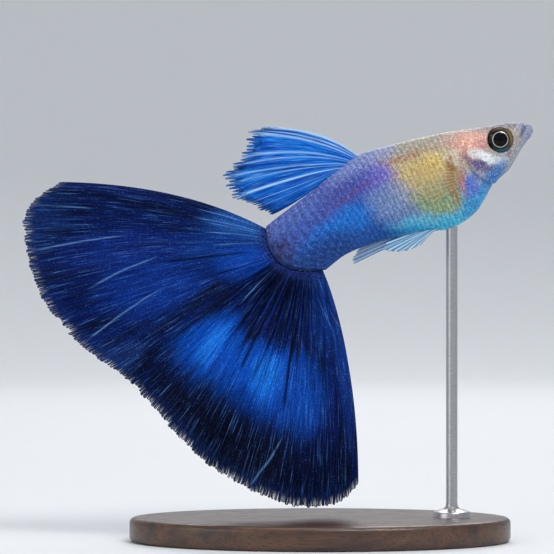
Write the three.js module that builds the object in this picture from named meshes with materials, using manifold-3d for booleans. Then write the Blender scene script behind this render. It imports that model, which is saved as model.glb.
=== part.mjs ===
// A male fancy guppy with a delta tail, life size, on a plain display stand.
// The fish is 28 mm long from its lower jaw to the end of its tail stalk and 53 mm long with its tail.
// Millimetres. +X is the way the fish faces, +Y its left side, +Z up. The origin is the middle of the
// underside of the stand's base. The body is one lofted form, parted with thin cuts, and each fin is a
// membrane whose rays are ridges in its own surface.
import * as THREE from "three";
import { mergeVertices } from "three/addons/utils/BufferGeometryUtils.js";
import Module from "manifold-3d";

const wasm = await Module();
wasm.setup();

// Every pair of pieces that touch keeps this gap.
const GAP = 0.3;

// The middle line of the body, from the tip of the lower jaw to the end of the tail stalk.
const JAW_TIP = new THREE.Vector3(22.1, 0, 43.2);
const NECK = new THREE.Vector3(13.7, 0.5, 40.1);
const LOIN = new THREE.Vector3(6.2, 0.6, 37.7);
const STALK_END = new THREE.Vector3(-2.45, -0.7, 30.55);
const SPINE = new THREE.CubicBezierCurve3(JAW_TIP, NECK, LOIN, STALK_END);

// Cross-sections of the body at shares t of the spine: height above it, depth below it, half width,
// and how pinched the upper and lower halves are, where 1 is an ellipse and less is fuller.
const SECTIONS = [
  { t: 0.0, up: 0.42, down: 0.3, half: 0.45, crown: 0.8, keel: 1.0 },
  { t: 0.02, up: 0.92, down: 0.72, half: 0.85, crown: 0.8, keel: 1.0 },
  { t: 0.05, up: 1.33, down: 1.4, half: 1.3, crown: 0.75, keel: 1.05 },
  { t: 0.09, up: 1.67, down: 2.3, half: 1.75, crown: 0.72, keel: 1.15 },
  { t: 0.13, up: 1.9, down: 3.15, half: 2.08, crown: 0.72, keel: 1.2 },
  { t: 0.18, up: 2.11, down: 3.7, half: 2.38, crown: 0.75, keel: 1.15 },
  { t: 0.22, up: 2.33, down: 4.15, half: 2.55, crown: 0.8, keel: 1.05 },
  { t: 0.27, up: 2.61, down: 5.2, half: 2.72, crown: 0.85, keel: 0.95 },
  { t: 0.33, up: 3.0, down: 6.2, half: 2.85, crown: 0.92, keel: 0.88 },
  { t: 0.44, up: 3.55, down: 6.72, half: 2.85, crown: 1.0, keel: 0.88 },
  { t: 0.54, up: 4.05, down: 6.12, half: 2.65, crown: 1.1, keel: 0.95 },
  { t: 0.65, up: 4.6, down: 5.2, half: 2.3, crown: 1.15, keel: 1.05 },
  { t: 0.76, up: 4.27, down: 4.3, half: 1.85, crown: 1.12, keel: 1.1 },
  { t: 0.88, up: 3.95, down: 3.6, half: 1.35, crown: 1.05, keel: 1.05 },
  { t: 1.0, up: 4.0, down: 3.6, half: 0.5, crown: 0.9, keel: 0.9 },
];
const LEAST_HALF = 0.05;
const RINGS = 46;
const AROUND = 28;
// Rings stand closer together towards the nose by this power.
const RING_POWER = 1.25;

// The scaly end of the tail stalk: it leans back at the top, and bulges back between top and bottom.
const END_STARTS = 0.84;
const END_LEAN = 1.0;
const END_BULGE = 2.3;
const NOSE_CAP = 0.22;

// Reads one value between the rows of a table, on a smooth curve through all its rows.
function tableValue(rows, key, t) {
  let i = 0;
  while (i < rows.length - 2 && t > rows[i + 1].t) i++;
  const before = rows[Math.max(i - 1, 0)];
  const left = rows[i];
  const right = rows[i + 1];
  const after = rows[Math.min(i + 2, rows.length - 1)];
  const span = right.t - left.t;
  const f = (t - left.t) / span;
  const leftSlope = ((right[key] - before[key]) / (right.t - before.t)) * span;
  const rightSlope = ((after[key] - left[key]) / (after.t - left.t)) * span;
  const f2 = f * f;
  const f3 = f2 * f;
  return (
    (2 * f3 - 3 * f2 + 1) * left[key] +
    (f3 - 2 * f2 + f) * leftSlope +
    (3 * f2 - 2 * f3) * right[key] +
    (f3 - f2) * rightSlope
  );
}

function smoothstep(value) {
  const x = Math.min(Math.max(value, 0), 1);
  return x * x * (3 - 2 * x);
}

function signedPower(x, power) {
  return Math.sign(x) * Math.abs(x) ** power;
}

// The spine's point at t with its directions back to the tail, to the fish's left and up.
function spineFrame(t) {
  const back = SPINE.getTangent(t).normalize();
  const left = new THREE.Vector3().crossVectors(back, new THREE.Vector3(0, 0, 1)).normalize();
  const up = new THREE.Vector3().crossVectors(left, back);
  return { at: SPINE.getPoint(t), back, left, up };
}

// How far back the stalk's end reaches behind the spine at a height from -1, the keel, to 1, the back.
function endReach(t, height) {
  const bulge = END_LEAN * height + END_BULGE * (1 - height * height);
  return smoothstep((t - END_STARTS) / (1 - END_STARTS)) * bulge;
}

// A point of the body's skin. angle runs from 0 at the back over the left side to PI at the keel.
function bodyPoint(t, angle, grow = 0) {
  const { at, back, left, up } = spineFrame(t);
  const rise = Math.cos(angle);
  const out = Math.sin(angle);
  const tall = Math.max(tableValue(SECTIONS, rise > 0 ? "up" : "down", t) + grow, LEAST_HALF);
  const wide = Math.max(tableValue(SECTIONS, "half", t) + grow, LEAST_HALF);
  const pinch = tableValue(SECTIONS, rise > 0 ? "crown" : "keel", t);
  return at
    .addScaledVector(up, rise * tall)
    .addScaledVector(left, signedPower(out, pinch) * wide)
    .addScaledVector(back, endReach(t, rise) + grow * smoothstep((t - 0.97) / 0.03));
}

// A closed solid from a three.js geometry.
function solidOf(geometry) {
  geometry.deleteAttribute("normal");
  geometry.deleteAttribute("uv");
  const merged = mergeVertices(geometry, 1e-4);
  const made = new wasm.Mesh({
    numProp: 3,
    vertProperties: merged.attributes.position.array,
    triVerts: new Uint32Array(merged.index.array),
  });
  return new wasm.Manifold(made);
}

function geometryFrom(points, triangles) {
  const geometry = new THREE.BufferGeometry();
  const flat = points.flatMap((p) => [p.x, p.y, p.z]);
  geometry.setAttribute("position", new THREE.Float32BufferAttribute(flat, 3));
  geometry.setIndex(triangles);
  return geometry;
}

// A closed solid from points and triangles that all wind one way, whichever way that is.
function windingOutwards(points, triangles) {
  const made = solidOf(geometryFrom(points, triangles));
  if (made.volume() > 0) return made;
  for (let i = 0; i < triangles.length; i += 3) {
    [triangles[i + 1], triangles[i + 2]] = [triangles[i + 2], triangles[i + 1]];
  }
  return solidOf(geometryFrom(points, triangles));
}

// The whole body, larger all round by grow.
function bodySolid(grow = 0) {
  const points = [];
  const triangles = [];
  for (let i = 0; i <= RINGS; i++) {
    const t = (i / RINGS) ** RING_POWER;
    for (let j = 0; j < AROUND; j++) points.push(bodyPoint(t, (2 * Math.PI * j) / AROUND, grow));
  }
  const vertex = (i, j) => i * AROUND + (j % AROUND);
  for (let i = 0; i < RINGS; i++) {
    for (let j = 0; j < AROUND; j++) {
      triangles.push(vertex(i, j), vertex(i, j + 1), vertex(i + 1, j + 1));
      triangles.push(vertex(i, j), vertex(i + 1, j + 1), vertex(i + 1, j));
    }
  }
  // The nose closes on one point, and the thin tail end with a strip between its left and right edges.
  const nose = points.length;
  points.push(JAW_TIP.clone().addScaledVector(spineFrame(0).back, -NOSE_CAP - grow));
  for (let j = 0; j < AROUND; j++) triangles.push(nose, vertex(0, j + 1), vertex(0, j));
  for (let j = 0; j < AROUND / 2; j++) {
    const across = AROUND - j;
    if (j > 0) triangles.push(vertex(RINGS, j), vertex(RINGS, j + 1), vertex(RINGS, across));
    if (j < AROUND / 2 - 1) {
      triangles.push(vertex(RINGS, j + 1), vertex(RINGS, across - 1), vertex(RINGS, across));
    }
  }
  return solidOf(geometryFrom(points, triangles));
}

const body = bodySolid();
const grownBody = bodySolid(GAP);

// A side view outline, x across and z up, as a solid that runs along Y from one place to another.
function sideOutline(shape, fromY, toY) {
  const geometry = new THREE.ExtrudeGeometry(shape, {
    depth: toY - fromY,
    bevelEnabled: false,
    curveSegments: 20,
  });
  geometry.rotateX(Math.PI / 2);
  geometry.translate(0, toY, 0);
  return solidOf(geometry);
}

// All the space behind a cross-section of the body, as a large block.
function spaceBehind(t, shift = 0) {
  const { at, back, left, up } = spineFrame(t);
  const size = 60;
  const geometry = new THREE.BoxGeometry(size, size, size);
  geometry.translate(0, 0, size / 2 + shift);
  geometry.applyMatrix4(new THREE.Matrix4().makeBasis(up, left, back));
  geometry.translate(at.x, at.y, at.z);
  return solidOf(geometry);
}

// The head ends at the rear edge of the gill covers, an arc from which a line runs up to the nape.
const GILL_CENTRE = { x: 18.6, z: 41.0 };
const GILL_RADIUS = 3.45;
const GILL_FROM = THREE.MathUtils.degToRad(158);
const GILL_TO = THREE.MathUtils.degToRad(264);
const FAR = 60;
function headOutline(grow) {
  const radius = GILL_RADIUS + grow;
  const shape = new THREE.Shape();
  const topX = GILL_CENTRE.x + radius * Math.cos(GILL_FROM);
  shape.moveTo(topX, FAR);
  shape.lineTo(topX, GILL_CENTRE.z + radius * Math.sin(GILL_FROM));
  shape.absarc(GILL_CENTRE.x, GILL_CENTRE.z, radius, GILL_FROM, 1.5 * Math.PI, false);
  shape.lineTo(FAR, GILL_CENTRE.z - radius);
  shape.lineTo(FAR, FAR);
  return shape;
}

// Each gill cover is a curved band along that edge, a thin plate that stands a little proud.
const GILL_INNER_RADIUS = 2.05;
const GILL_THICK = 0.55;
const GILL_PROUD = 0.12;
function gillOutline(grow) {
  const turn = grow / GILL_RADIUS;
  const shape = new THREE.Shape();
  shape.absarc(GILL_CENTRE.x, GILL_CENTRE.z, GILL_RADIUS + grow, GILL_FROM - turn, GILL_TO + turn, false);
  shape.absarc(GILL_CENTRE.x, GILL_CENTRE.z, GILL_INNER_RADIUS - grow, GILL_TO + turn, GILL_FROM - turn, true);
  return shape;
}

// Between the two covers the throat stays whole, as a strip on either side of the middle plane.
const THROAT_HALF = 0.35;
const WIDE = 8;
function sideBand(side, from) {
  return side > 0 ? [from, WIDE] : [-WIDE, -from];
}
const gillShell = bodySolid(GILL_PROUD).subtract(bodySolid(-GILL_THICK));
const POCKET_OUT = 1;
const gillPocket = bodySolid(POCKET_OUT).subtract(bodySolid(-GILL_THICK - GAP));

// An ellipsoid with its poles on Y, at a place.
function ellipsoid(centre, radii, around = 20, rings = 12) {
  const geometry = new THREE.SphereGeometry(1, around, rings);
  geometry.scale(radii.x, radii.y, radii.z);
  geometry.translate(centre.x, centre.y, centre.z);
  return solidOf(geometry);
}

// The eyes are set on the spine's height in the side of the head, and bulge a little.
const EYE = { x: 18.76, z: 42.05, radius: 1.4, deep: 0.85, proud: 0.36 };
const EYE_SHARE = 0.135;
const eyeSide = tableValue(SECTIONS, "half", EYE_SHARE);
function eyeSolid(side, grow) {
  const middle = SPINE.getPoint(EYE_SHARE).y;
  const y = middle + side * (eyeSide + EYE.proud - EYE.deep);
  const round = EYE.radius + grow;
  return ellipsoid({ x: EYE.x, y, z: EYE.z }, { x: round, y: EYE.deep + grow, z: round }, 24, 14);
}

// The gape is a slit that drops from the top of the snout to the corners of the mouth. The upper lip
// runs along its rear side and the lower lip along its front side, each a roll that thins to the corners.
const GAPE_TOP = new THREE.Vector3(21.44, 0, 43.65);
const GAPE_CORNER = new THREE.Vector3(20.93, 0, 42.25);
const GAPE_WIDE = 0.32;
const GAPE_ABOVE = 1.5;
const LIP = { radius: 0.27, corner: 0.12, offset: 0.34 };
const UPPER_LIP = { rise: 1.3, half: 1.12 };
const LOWER_LIP = { rise: 1.12, half: 0.78 };
const gapeDown = GAPE_CORNER.clone().sub(GAPE_TOP).normalize();
const gapeForward = new THREE.Vector3(-gapeDown.z, 0, gapeDown.x);

// A roll of round section along a half ellipse, from one corner of the mouth over the top to the other.
function lipSolid(forward, { rise, half }) {
  const steps = 14;
  const sides = 8;
  const points = [];
  const triangles = [];
  const centre = GAPE_CORNER.clone().addScaledVector(gapeForward, forward);
  for (let i = 0; i <= steps; i++) {
    const turn = (Math.PI * i) / steps;
    const out = new THREE.Vector3(0, Math.cos(turn), 0).addScaledVector(gapeDown, -Math.sin(turn));
    const at = centre.clone().addScaledVector(gapeDown, -rise * Math.sin(turn));
    at.y += half * Math.cos(turn);
    const radius = LIP.corner + (LIP.radius - LIP.corner) * Math.sin(turn) ** 0.6;
    for (let j = 0; j < sides; j++) {
      const around = (2 * Math.PI * j) / sides;
      points.push(
        at
          .clone()
          .addScaledVector(out, radius * Math.cos(around))
          .addScaledVector(gapeForward, radius * Math.sin(around)),
      );
    }
  }
  for (let i = 0; i < steps; i++) {
    for (let j = 0; j < sides; j++) {
      const a = i * sides + j;
      const b = i * sides + ((j + 1) % sides);
      triangles.push(a, b, b + sides, a, b + sides, a + sides);
    }
  }
  for (let j = 1; j < sides - 1; j++) {
    triangles.push(0, j + 1, j);
    const last = steps * sides;
    triangles.push(last, last + j, last + j + 1);
  }
  return windingOutwards(points, triangles);
}

function gapeSlit() {
  const length = GAPE_TOP.distanceTo(GAPE_CORNER) + GAPE_ABOVE;
  const geometry = new THREE.BoxGeometry(GAPE_WIDE, WIDE, length);
  geometry.translate(0, 0, length / 2);
  const turn = new THREE.Matrix4().makeBasis(gapeForward, new THREE.Vector3(0, 1, 0), gapeDown.clone().negate());
  geometry.applyMatrix4(turn);
  geometry.translate(GAPE_CORNER.x, GAPE_CORNER.y, GAPE_CORNER.z);
  return solidOf(geometry);
}

// Nostrils are small pits between the eye and the upper lip.
const NOSTRIL = { x: 20.1, z: 43.25, radius: 0.2, out: 0.98 };

// Only the largest closed surface of a cut piece is kept.
function largest(solid) {
  return solid.decompose().sort((a, b) => b.volume() - a.volume())[0];
}

// The trunk ends behind the dorsal fin, where the tail stalk begins.
const STALK_SHARE = 0.8;

// The display stand: an oval base with a softened upper edge, and one rod with a foot that enters the belly.
const BASE = { long: 40, wide: 24, thick: 2.5, edge: 0.6 };
const ROD = { x: 13.86, y: 0.4, radius: 0.6, top: 33.8, foot: 2.0, footThick: 0.6, flare: 0.35 };
// The tenon at the rod's lower end starts at this height, and its hole a little lower.
const TENON_LOW = 1.3;
const ROD_SIDES = 20;

function headSolid() {
  let head = body.intersect(sideOutline(headOutline(0), -WIDE, WIDE));
  head = head.add(lipSolid(-LIP.offset, UPPER_LIP)).add(lipSolid(LIP.offset, LOWER_LIP));
  head = head.subtract(gapeSlit());
  for (const side of [1, -1]) {
    const pocket = sideOutline(gillOutline(GAP), ...sideBand(side, THROAT_HALF));
    head = head.subtract(pocket.intersect(gillPocket));
    head = head.subtract(eyeSolid(side, GAP));
    const pit = { x: NOSTRIL.x, y: side * NOSTRIL.out, z: NOSTRIL.z };
    const round = { x: NOSTRIL.radius, y: NOSTRIL.radius, z: NOSTRIL.radius };
    head = head.subtract(ellipsoid(pit, round, 8, 6));
  }
  return largest(head);
}

function gillCoverSolid(side) {
  const band = sideOutline(gillOutline(0), ...sideBand(side, THROAT_HALF + GAP));
  return largest(band.intersect(gillShell));
}

// A round hole for the rod with the gap all round, from one height to another.
function rodHole(low, high) {
  const geometry = new THREE.CylinderGeometry(ROD.radius + GAP, ROD.radius + GAP, high - low, ROD_SIDES);
  geometry.rotateX(Math.PI / 2);
  geometry.translate(ROD.x, ROD.y, (low + high) / 2);
  return solidOf(geometry);
}

function rodSocket() {
  return rodHole(0, ROD.top + GAP);
}

function trunkSolid() {
  const behindHead = body.subtract(sideOutline(headOutline(GAP), -WIDE, WIDE));
  return largest(behindHead.subtract(spaceBehind(STALK_SHARE)).subtract(rodSocket()));
}

function tailStalkSolid() {
  return largest(body.intersect(spaceBehind(STALK_SHARE, GAP)));
}

// Where the margin ends at each column, as a share of the ray: an uneven comb of ray tips with notches.
const FRINGE = { tip: 0.022, notch: 0.018, notchMore: 0.03 };
function frayed(column) {
  const wobble = Math.sin(12.9 * column) * 437.5;
  const chance = wobble - Math.floor(wobble);
  return column % 2 === 1 ? 1 - FRINGE.tip * chance : 1 - FRINGE.notch - FRINGE.notchMore * chance;
}

// A fin is a grid of points in two layers. Row 0 is its root and the last row its margin, and cells[i]
// is the number of cells across row i, which stays or doubles from row to row, so that each ray forks.
// Odd columns are ray crests and even ones the membrane between rays. place(u, v) gives a point of the
// middle surface and half(v, crest) the half thickness there, which is set off along normal.
function finSolid({ cells, shares, place, half, normal }) {
  const points = [];
  const triangles = [];
  const rows = cells.map((count, i) => {
    const first = points.length;
    for (let j = 0; j <= count; j++) {
      const crest = j % 2 === 1;
      const u = j / count;
      const at = place(u, shares[i] >= 1 ? frayed(j) : shares[i]);
      const off = half(shares[i], crest);
      points.push(at.clone().addScaledVector(normal, off));
      points.push(at.clone().addScaledVector(normal, -off));
    }
    return { first, count };
  });
  const vertex = (i, j, layer) => rows[i].first + 2 * j + layer;
  const bothLayers = (a, b, c) => {
    triangles.push(vertex(...a, 0), vertex(...b, 0), vertex(...c, 0));
    triangles.push(vertex(...a, 1), vertex(...c, 1), vertex(...b, 1));
  };
  for (let i = 0; i < rows.length - 1; i++) {
    const doubles = rows[i + 1].count === 2 * rows[i].count;
    for (let j = 0; j < rows[i].count; j++) {
      if (doubles) {
        bothLayers([i, j], [i + 1, 2 * j + 1], [i + 1, 2 * j]);
        bothLayers([i, j], [i, j + 1], [i + 1, 2 * j + 1]);
        bothLayers([i, j + 1], [i + 1, 2 * j + 2], [i + 1, 2 * j + 1]);
      } else if (j % 2 === 0) {
        bothLayers([i, j], [i, j + 1], [i + 1, j + 1]);
        bothLayers([i, j], [i + 1, j + 1], [i + 1, j]);
      } else {
        bothLayers([i, j], [i, j + 1], [i + 1, j]);
        bothLayers([i, j + 1], [i + 1, j + 1], [i + 1, j]);
      }
    }
  }
  const rim = [];
  const last = rows.length - 1;
  for (let j = 0; j < rows[0].count; j++) rim.push([[0, j], [0, j + 1]]);
  for (let i = 0; i < last; i++) rim.push([[i, rows[i].count], [i + 1, rows[i + 1].count]]);
  for (let j = rows[last].count; j > 0; j--) rim.push([[last, j], [last, j - 1]]);
  for (let i = last; i > 0; i--) rim.push([[i, 0], [i - 1, 0]]);
  for (const [a, b] of rim) {
    triangles.push(vertex(...a, 0), vertex(...a, 1), vertex(...b, 1));
    triangles.push(vertex(...a, 0), vertex(...b, 1), vertex(...b, 0));
  }
  return windingOutwards(points, triangles);
}

// Rays and membrane share these thicknesses. The membrane thins to the tips of the rays, and below v = 0
// a fin is sunk into the body.
const MEMBRANE_HALF = 0.26;
const RIDGE = 0.13;
const TIP_HALF = 0.14;
const ROOT_EXTRA = 0.16;
const SUNK_HALF = 0.3;
function finHalf(v, crest, ridge = RIDGE) {
  if (v < 0) return SUNK_HALF;
  const root = ROOT_EXTRA * (1 - smoothstep(v / 0.35));
  const plain = MEMBRANE_HALF + root + (crest ? ridge : 0);
  return plain + (TIP_HALF - plain) * smoothstep((v - 0.9) / 0.1);
}

// A ray in the side view: it leaves the root in one direction and bends to its tip.
function rayPoint(root, leaves, tip, v) {
  const length = root.distanceTo(tip);
  const middle = root.clone().addScaledVector(leaves, 0.45 * length);
  return new THREE.QuadraticBezierCurve3(root, middle, tip).getPoint(v);
}

function sideDirection(degrees) {
  const angle = THREE.MathUtils.degToRad(degrees);
  return new THREE.Vector3(Math.cos(angle), 0, Math.sin(angle));
}

// The margin of a fin as a smooth line through its corners and lobes, x and z.
function marginCurve(outline) {
  return new THREE.CatmullRomCurve3(outline.map(([x, z]) => new THREE.Vector3(x, 0, z)), false, "centripetal");
}

// The tail fin opens as a wide triangle. Its rays start along the stalk's end, and its margin runs from
// the upper corner over the rounded rear edge to the lower corner.
const TAIL_MARGIN = marginCurve([
  [-27.1, 37.6],
  [-30.8, 35.0],
  [-30.9, 30.3],
  [-28.9, 25.0],
  [-25.2, 20.6],
  [-20.0, 16.6],
  [-15.3, 11.5],
  [-11.0, 7.4],
  [-6.3, 4.8],
  [-1.1, 3.3],
  [2.6, 4.2],
  [4.0, 5.8],
]);
const TAIL_LEAVES = { upper: 152, lower: 291 };
const TAIL_SINK = 1.1;
const TAIL_SPREAD = 0.96;
const TAIL_RAYS = 18;
const FOLDS = { count: 5, deep: 0.9, phase: 0.6 };
const PLEATS = { count: 10, deep: 0.3 };

function stalkEndPoint(height) {
  const { at, back, up } = spineFrame(1);
  const tall = tableValue(SECTIONS, height > 0 ? "up" : "down", 1);
  return at.addScaledVector(up, height * tall).addScaledVector(back, endReach(1, height));
}

// How far the tail fin stands off the middle plane: it swings over and is cupped, large folds grow to its
// margin, and its lower half is pleated near the root.
const SWING = 1.2;
const CUP = 1.6;
const CUP_MIDDLE = 0.45;
function tailSway(u, v) {
  const swing = -SWING * v * (1 - v);
  const cup = -CUP * v * v * Math.cos(Math.PI * (u - CUP_MIDDLE));
  const fold = FOLDS.deep * v ** 1.5 * Math.sin(2 * Math.PI * (FOLDS.count * u + FOLDS.phase));
  const pleated = PLEATS.deep * smoothstep(v / 0.12) * smoothstep((0.6 - v) / 0.4) * smoothstep((u - 0.25) / 0.3);
  return swing + cup + fold + pleated * Math.sin(2 * Math.PI * PLEATS.count * u);
}

function tailPlace(u, v) {
  const root = stalkEndPoint(TAIL_SPREAD * (1 - 2 * u));
  const { back } = spineFrame(1);
  if (v < 0) return root.addScaledVector(back, -TAIL_SINK);
  const leaves = sideDirection(THREE.MathUtils.lerp(TAIL_LEAVES.upper, TAIL_LEAVES.lower, u));
  const tip = TAIL_MARGIN.getPointAt(u);
  const rootY = root.y;
  root.y = 0;
  const at = rayPoint(root, leaves, tip, v);
  at.y = rootY + tailSway(u, v);
  return at;
}

const ACROSS = new THREE.Vector3(0, 1, 0);
function tailFinSolid() {
  const fin = finSolid({
    cells: [2, 2, 2, 2, 4, 4, 4, 8, 8, 8, 8, 8].map((forks) => forks * TAIL_RAYS),
    shares: [-1, 0, 0.1, 0.2, 0.3, 0.4, 0.5, 0.6, 0.7, 0.8, 0.9, 1],
    place: tailPlace,
    half: finHalf,
    normal: ACROSS,
  });
  return largest(fin.subtract(grownBody));
}

// The dorsal fin is swept back over the stalk. Its base is a stretch of the back.
const DORSAL_BASE = { from: 0.655, to: 0.79 };
const DORSAL_MARGIN = marginCurve([
  [-5.8, 43.5],
  [-8.4, 42.7],
  [-8.9, 41.0],
  [-9.3, 39.5],
  [-10.6, 38.6],
  [-10.5, 37.1],
  [-10.0, 36.0],
  [-7.8, 35.2],
  [-5.4, 34.1],
]);
const DORSAL_LEAVES = { front: 140, rear: 223 };
const DORSAL_RAYS = 8;
const DORSAL_SINK = 0.9;
// It leans to the fish's left, more at its rear, and waves a little.
const DORSAL_LEAN = { front: 0.45, rear: 1.3 };
const DORSAL_WAVE = { count: 2, deep: 0.3 };

function dorsalPlace(u, v) {
  const t = THREE.MathUtils.lerp(DORSAL_BASE.from, DORSAL_BASE.to, u);
  const root = bodyPoint(t, 0);
  const { up, back } = spineFrame(t);
  if (v < 0) return root.addScaledVector(up, -DORSAL_SINK).addScaledVector(back, -0.4 * DORSAL_SINK);
  const leaves = sideDirection(THREE.MathUtils.lerp(DORSAL_LEAVES.front, DORSAL_LEAVES.rear, u));
  const rootY = root.y;
  root.y = 0;
  const at = rayPoint(root, leaves, DORSAL_MARGIN.getPointAt(u), v);
  const lean = THREE.MathUtils.lerp(DORSAL_LEAN.front, DORSAL_LEAN.rear, u) * v ** 1.3;
  at.y = rootY + lean + DORSAL_WAVE.deep * v * v * Math.sin(2 * Math.PI * DORSAL_WAVE.count * u);
  return at;
}

function dorsalFinSolid() {
  const fin = finSolid({
    cells: [2, 2, 2, 4, 4, 8, 8, 8, 8].map((forks) => forks * DORSAL_RAYS),
    shares: [-1, 0, 0.15, 0.3, 0.44, 0.58, 0.72, 0.86, 1],
    place: dorsalPlace,
    half: finHalf,
    normal: ACROSS,
  });
  return largest(fin.subtract(grownBody));
}

// A small fin fans out flat from a point of the body. length is its longest ray, from and to its
// first and last ray in degrees about its own direction, and tipPower how pointed it is.
const SMALL_FIN_SINK = 0.9;
function smallFin({ root, along, across, length, base, from, to, rays, cells, shares, bow, ridge, tipAt, tipFall }) {
  const direction = along.clone().normalize();
  const normal = new THREE.Vector3().crossVectors(direction, across).normalize();
  const side = new THREE.Vector3().crossVectors(normal, direction).normalize();
  const place = (u, v) => {
    const start = root.clone().addScaledVector(side, base * (u - 0.5));
    if (v < 0) return start.addScaledVector(direction, -SMALL_FIN_SINK);
    const angle = THREE.MathUtils.degToRad(THREE.MathUtils.lerp(from, to, u));
    const reach = length * (1 - tipFall * Math.abs(u - tipAt) ** 1.6);
    const ray = direction.clone().multiplyScalar(Math.cos(angle)).addScaledVector(side, Math.sin(angle));
    return start.addScaledVector(ray, reach * v).addScaledVector(normal, bow * v * v);
  };
  const fin = finSolid({
    cells: cells.map((forks) => forks * rays),
    shares,
    place,
    half: (v, crest) => finHalf(v, crest, ridge),
    normal,
  });
  return largest(fin.subtract(grownBody));
}

// The pectoral fins stand out behind the gill covers.
const PECTORAL = { t: 0.345, angle: 111, out: 0.42, length: 5.4 };
function pectoralFinSolid(side) {
  const angle = THREE.MathUtils.degToRad(side > 0 ? PECTORAL.angle : 360 - PECTORAL.angle);
  return smallFin({
    root: bodyPoint(PECTORAL.t, angle),
    along: new THREE.Vector3(-1, side * PECTORAL.out, -0.22),
    across: new THREE.Vector3(0.12, side * 0.25, 1),
    length: PECTORAL.length,
    base: 1.5,
    from: -24,
    to: 22,
    rays: 7,
    cells: [2, 2, 2, 4, 4, 4],
    shares: [-1, 0, 0.28, 0.52, 0.76, 1],
    bow: side * -0.25,
    ridge: 0.09,
    tipAt: 0.6,
    tipFall: 0.9,
  });
}

// The pelvic fins are narrow blades under the belly, and point back.
const PELVIC = { t: 0.535, angle: 164, length: 5.7 };
function pelvicFinSolid(side) {
  const angle = THREE.MathUtils.degToRad(side > 0 ? PELVIC.angle : 360 - PELVIC.angle);
  return smallFin({
    root: bodyPoint(PELVIC.t, angle),
    along: new THREE.Vector3(-1, side * 0.3, -0.42),
    across: new THREE.Vector3(-0.3, side * -0.75, 0.6),
    length: PELVIC.length,
    base: 0.7,
    from: -25,
    to: 9,
    rays: 5,
    cells: [2, 2, 2, 2, 2],
    shares: [-1, 0, 0.33, 0.66, 1],
    bow: 0.2,
    ridge: 0.09,
    tipAt: 0.75,
    tipFall: 1.0,
  });
}

// The anal fin of a male is a slender rod of a few thick rays, the gonopodium, that points back.
const GONOPODIUM = { t: 0.68, length: 5.3 };
function gonopodiumSolid() {
  return smallFin({
    root: bodyPoint(GONOPODIUM.t, Math.PI),
    along: new THREE.Vector3(-1, 0, -0.4),
    across: new THREE.Vector3(-0.4, 0, 1),
    length: GONOPODIUM.length,
    base: 1.1,
    from: -4,
    to: 1,
    rays: 3,
    cells: [2, 2, 2, 2, 2, 2],
    shares: [-1, 0, 0.25, 0.5, 0.75, 1],
    bow: 0,
    ridge: 0.1,
    tipAt: 0.2,
    tipFall: 0.35,
  });
}

function baseSolid() {
  const shape = new THREE.Shape();
  const inner = BASE.edge;
  shape.absellipse(0, 0, BASE.long / 2 - inner, BASE.wide / 2 - inner, 0, 2 * Math.PI, false, 0);
  const outline = shape.getPoints(26);
  outline.pop();
  const scaled = (grow, z) => {
    const x = 1 + grow / (BASE.long / 2 - inner);
    const y = 1 + grow / (BASE.wide / 2 - inner);
    return outline.map((p) => new THREE.Vector3(p.x * x, p.y * y, z));
  };
  const levels = [
    scaled(inner, 0),
    scaled(inner, BASE.thick - inner),
    scaled(inner * 0.7, BASE.thick - inner * 0.3),
    scaled(0, BASE.thick),
  ];
  const count = outline.length;
  const points = levels.flat();
  const triangles = [];
  for (let i = 0; i < levels.length - 1; i++) {
    for (let j = 0; j < count; j++) {
      const a = i * count + j;
      const b = i * count + ((j + 1) % count);
      triangles.push(a, b, b + count, a, b + count, a + count);
    }
  }
  const topFirst = (levels.length - 1) * count;
  for (let j = 1; j < count - 1; j++) {
    triangles.push(0, j + 1, j);
    triangles.push(topFirst, topFirst + j, topFirst + j + 1);
  }
  return solidOf(geometryFrom(points, triangles)).subtract(rodHole(TENON_LOW - GAP, 2 * BASE.thick));
}

// The rod is turned in one piece: a tenon in the base, a foot that rests just above it, and the shaft.
function rodSolid() {
  const footBottom = BASE.thick + GAP;
  const footTop = footBottom + ROD.footThick;
  const profile = [
    [0, TENON_LOW],
    [ROD.radius, TENON_LOW],
    [ROD.radius, footBottom],
    [ROD.foot, footBottom],
    [ROD.foot, footBottom + ROD.footThick / 2],
    [ROD.foot * 0.8, footTop],
    [ROD.radius, footTop + ROD.flare],
    [ROD.radius, ROD.top - ROD.radius / 2],
    [ROD.radius * 0.65, ROD.top],
    [0, ROD.top],
  ];
  const geometry = new THREE.LatheGeometry(profile.map(([r, z]) => new THREE.Vector2(r, z)), ROD_SIDES);
  geometry.rotateX(Math.PI / 2);
  geometry.translate(ROD.x, ROD.y, 0);
  return solidOf(geometry);
}

const MATERIALS = {
  head: new THREE.MeshStandardMaterial({ color: 0xb9aeb4, roughness: 0.35, metalness: 0.25 }),
  trunk: new THREE.MeshStandardMaterial({ color: 0x9b9a8e, roughness: 0.35, metalness: 0.3 }),
  stalk: new THREE.MeshStandardMaterial({ color: 0x4f66b0, roughness: 0.35, metalness: 0.35 }),
  tailFin: new THREE.MeshStandardMaterial({ color: 0x0a2f8f, roughness: 0.4, metalness: 0.3 }),
  dorsalFin: new THREE.MeshStandardMaterial({ color: 0x1f6fd0, roughness: 0.4, metalness: 0.3 }),
  clearFin: new THREE.MeshStandardMaterial({ color: 0x9fc4c8, roughness: 0.3, metalness: 0.1 }),
  eye: new THREE.MeshStandardMaterial({ color: 0x0b0d12, roughness: 0.08, metalness: 0 }),
  base: new THREE.MeshStandardMaterial({ color: 0x2a2422, roughness: 0.45, metalness: 0 }),
  rod: new THREE.MeshStandardMaterial({ color: 0xb8b8ba, roughness: 0.3, metalness: 1 }),
};

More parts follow.
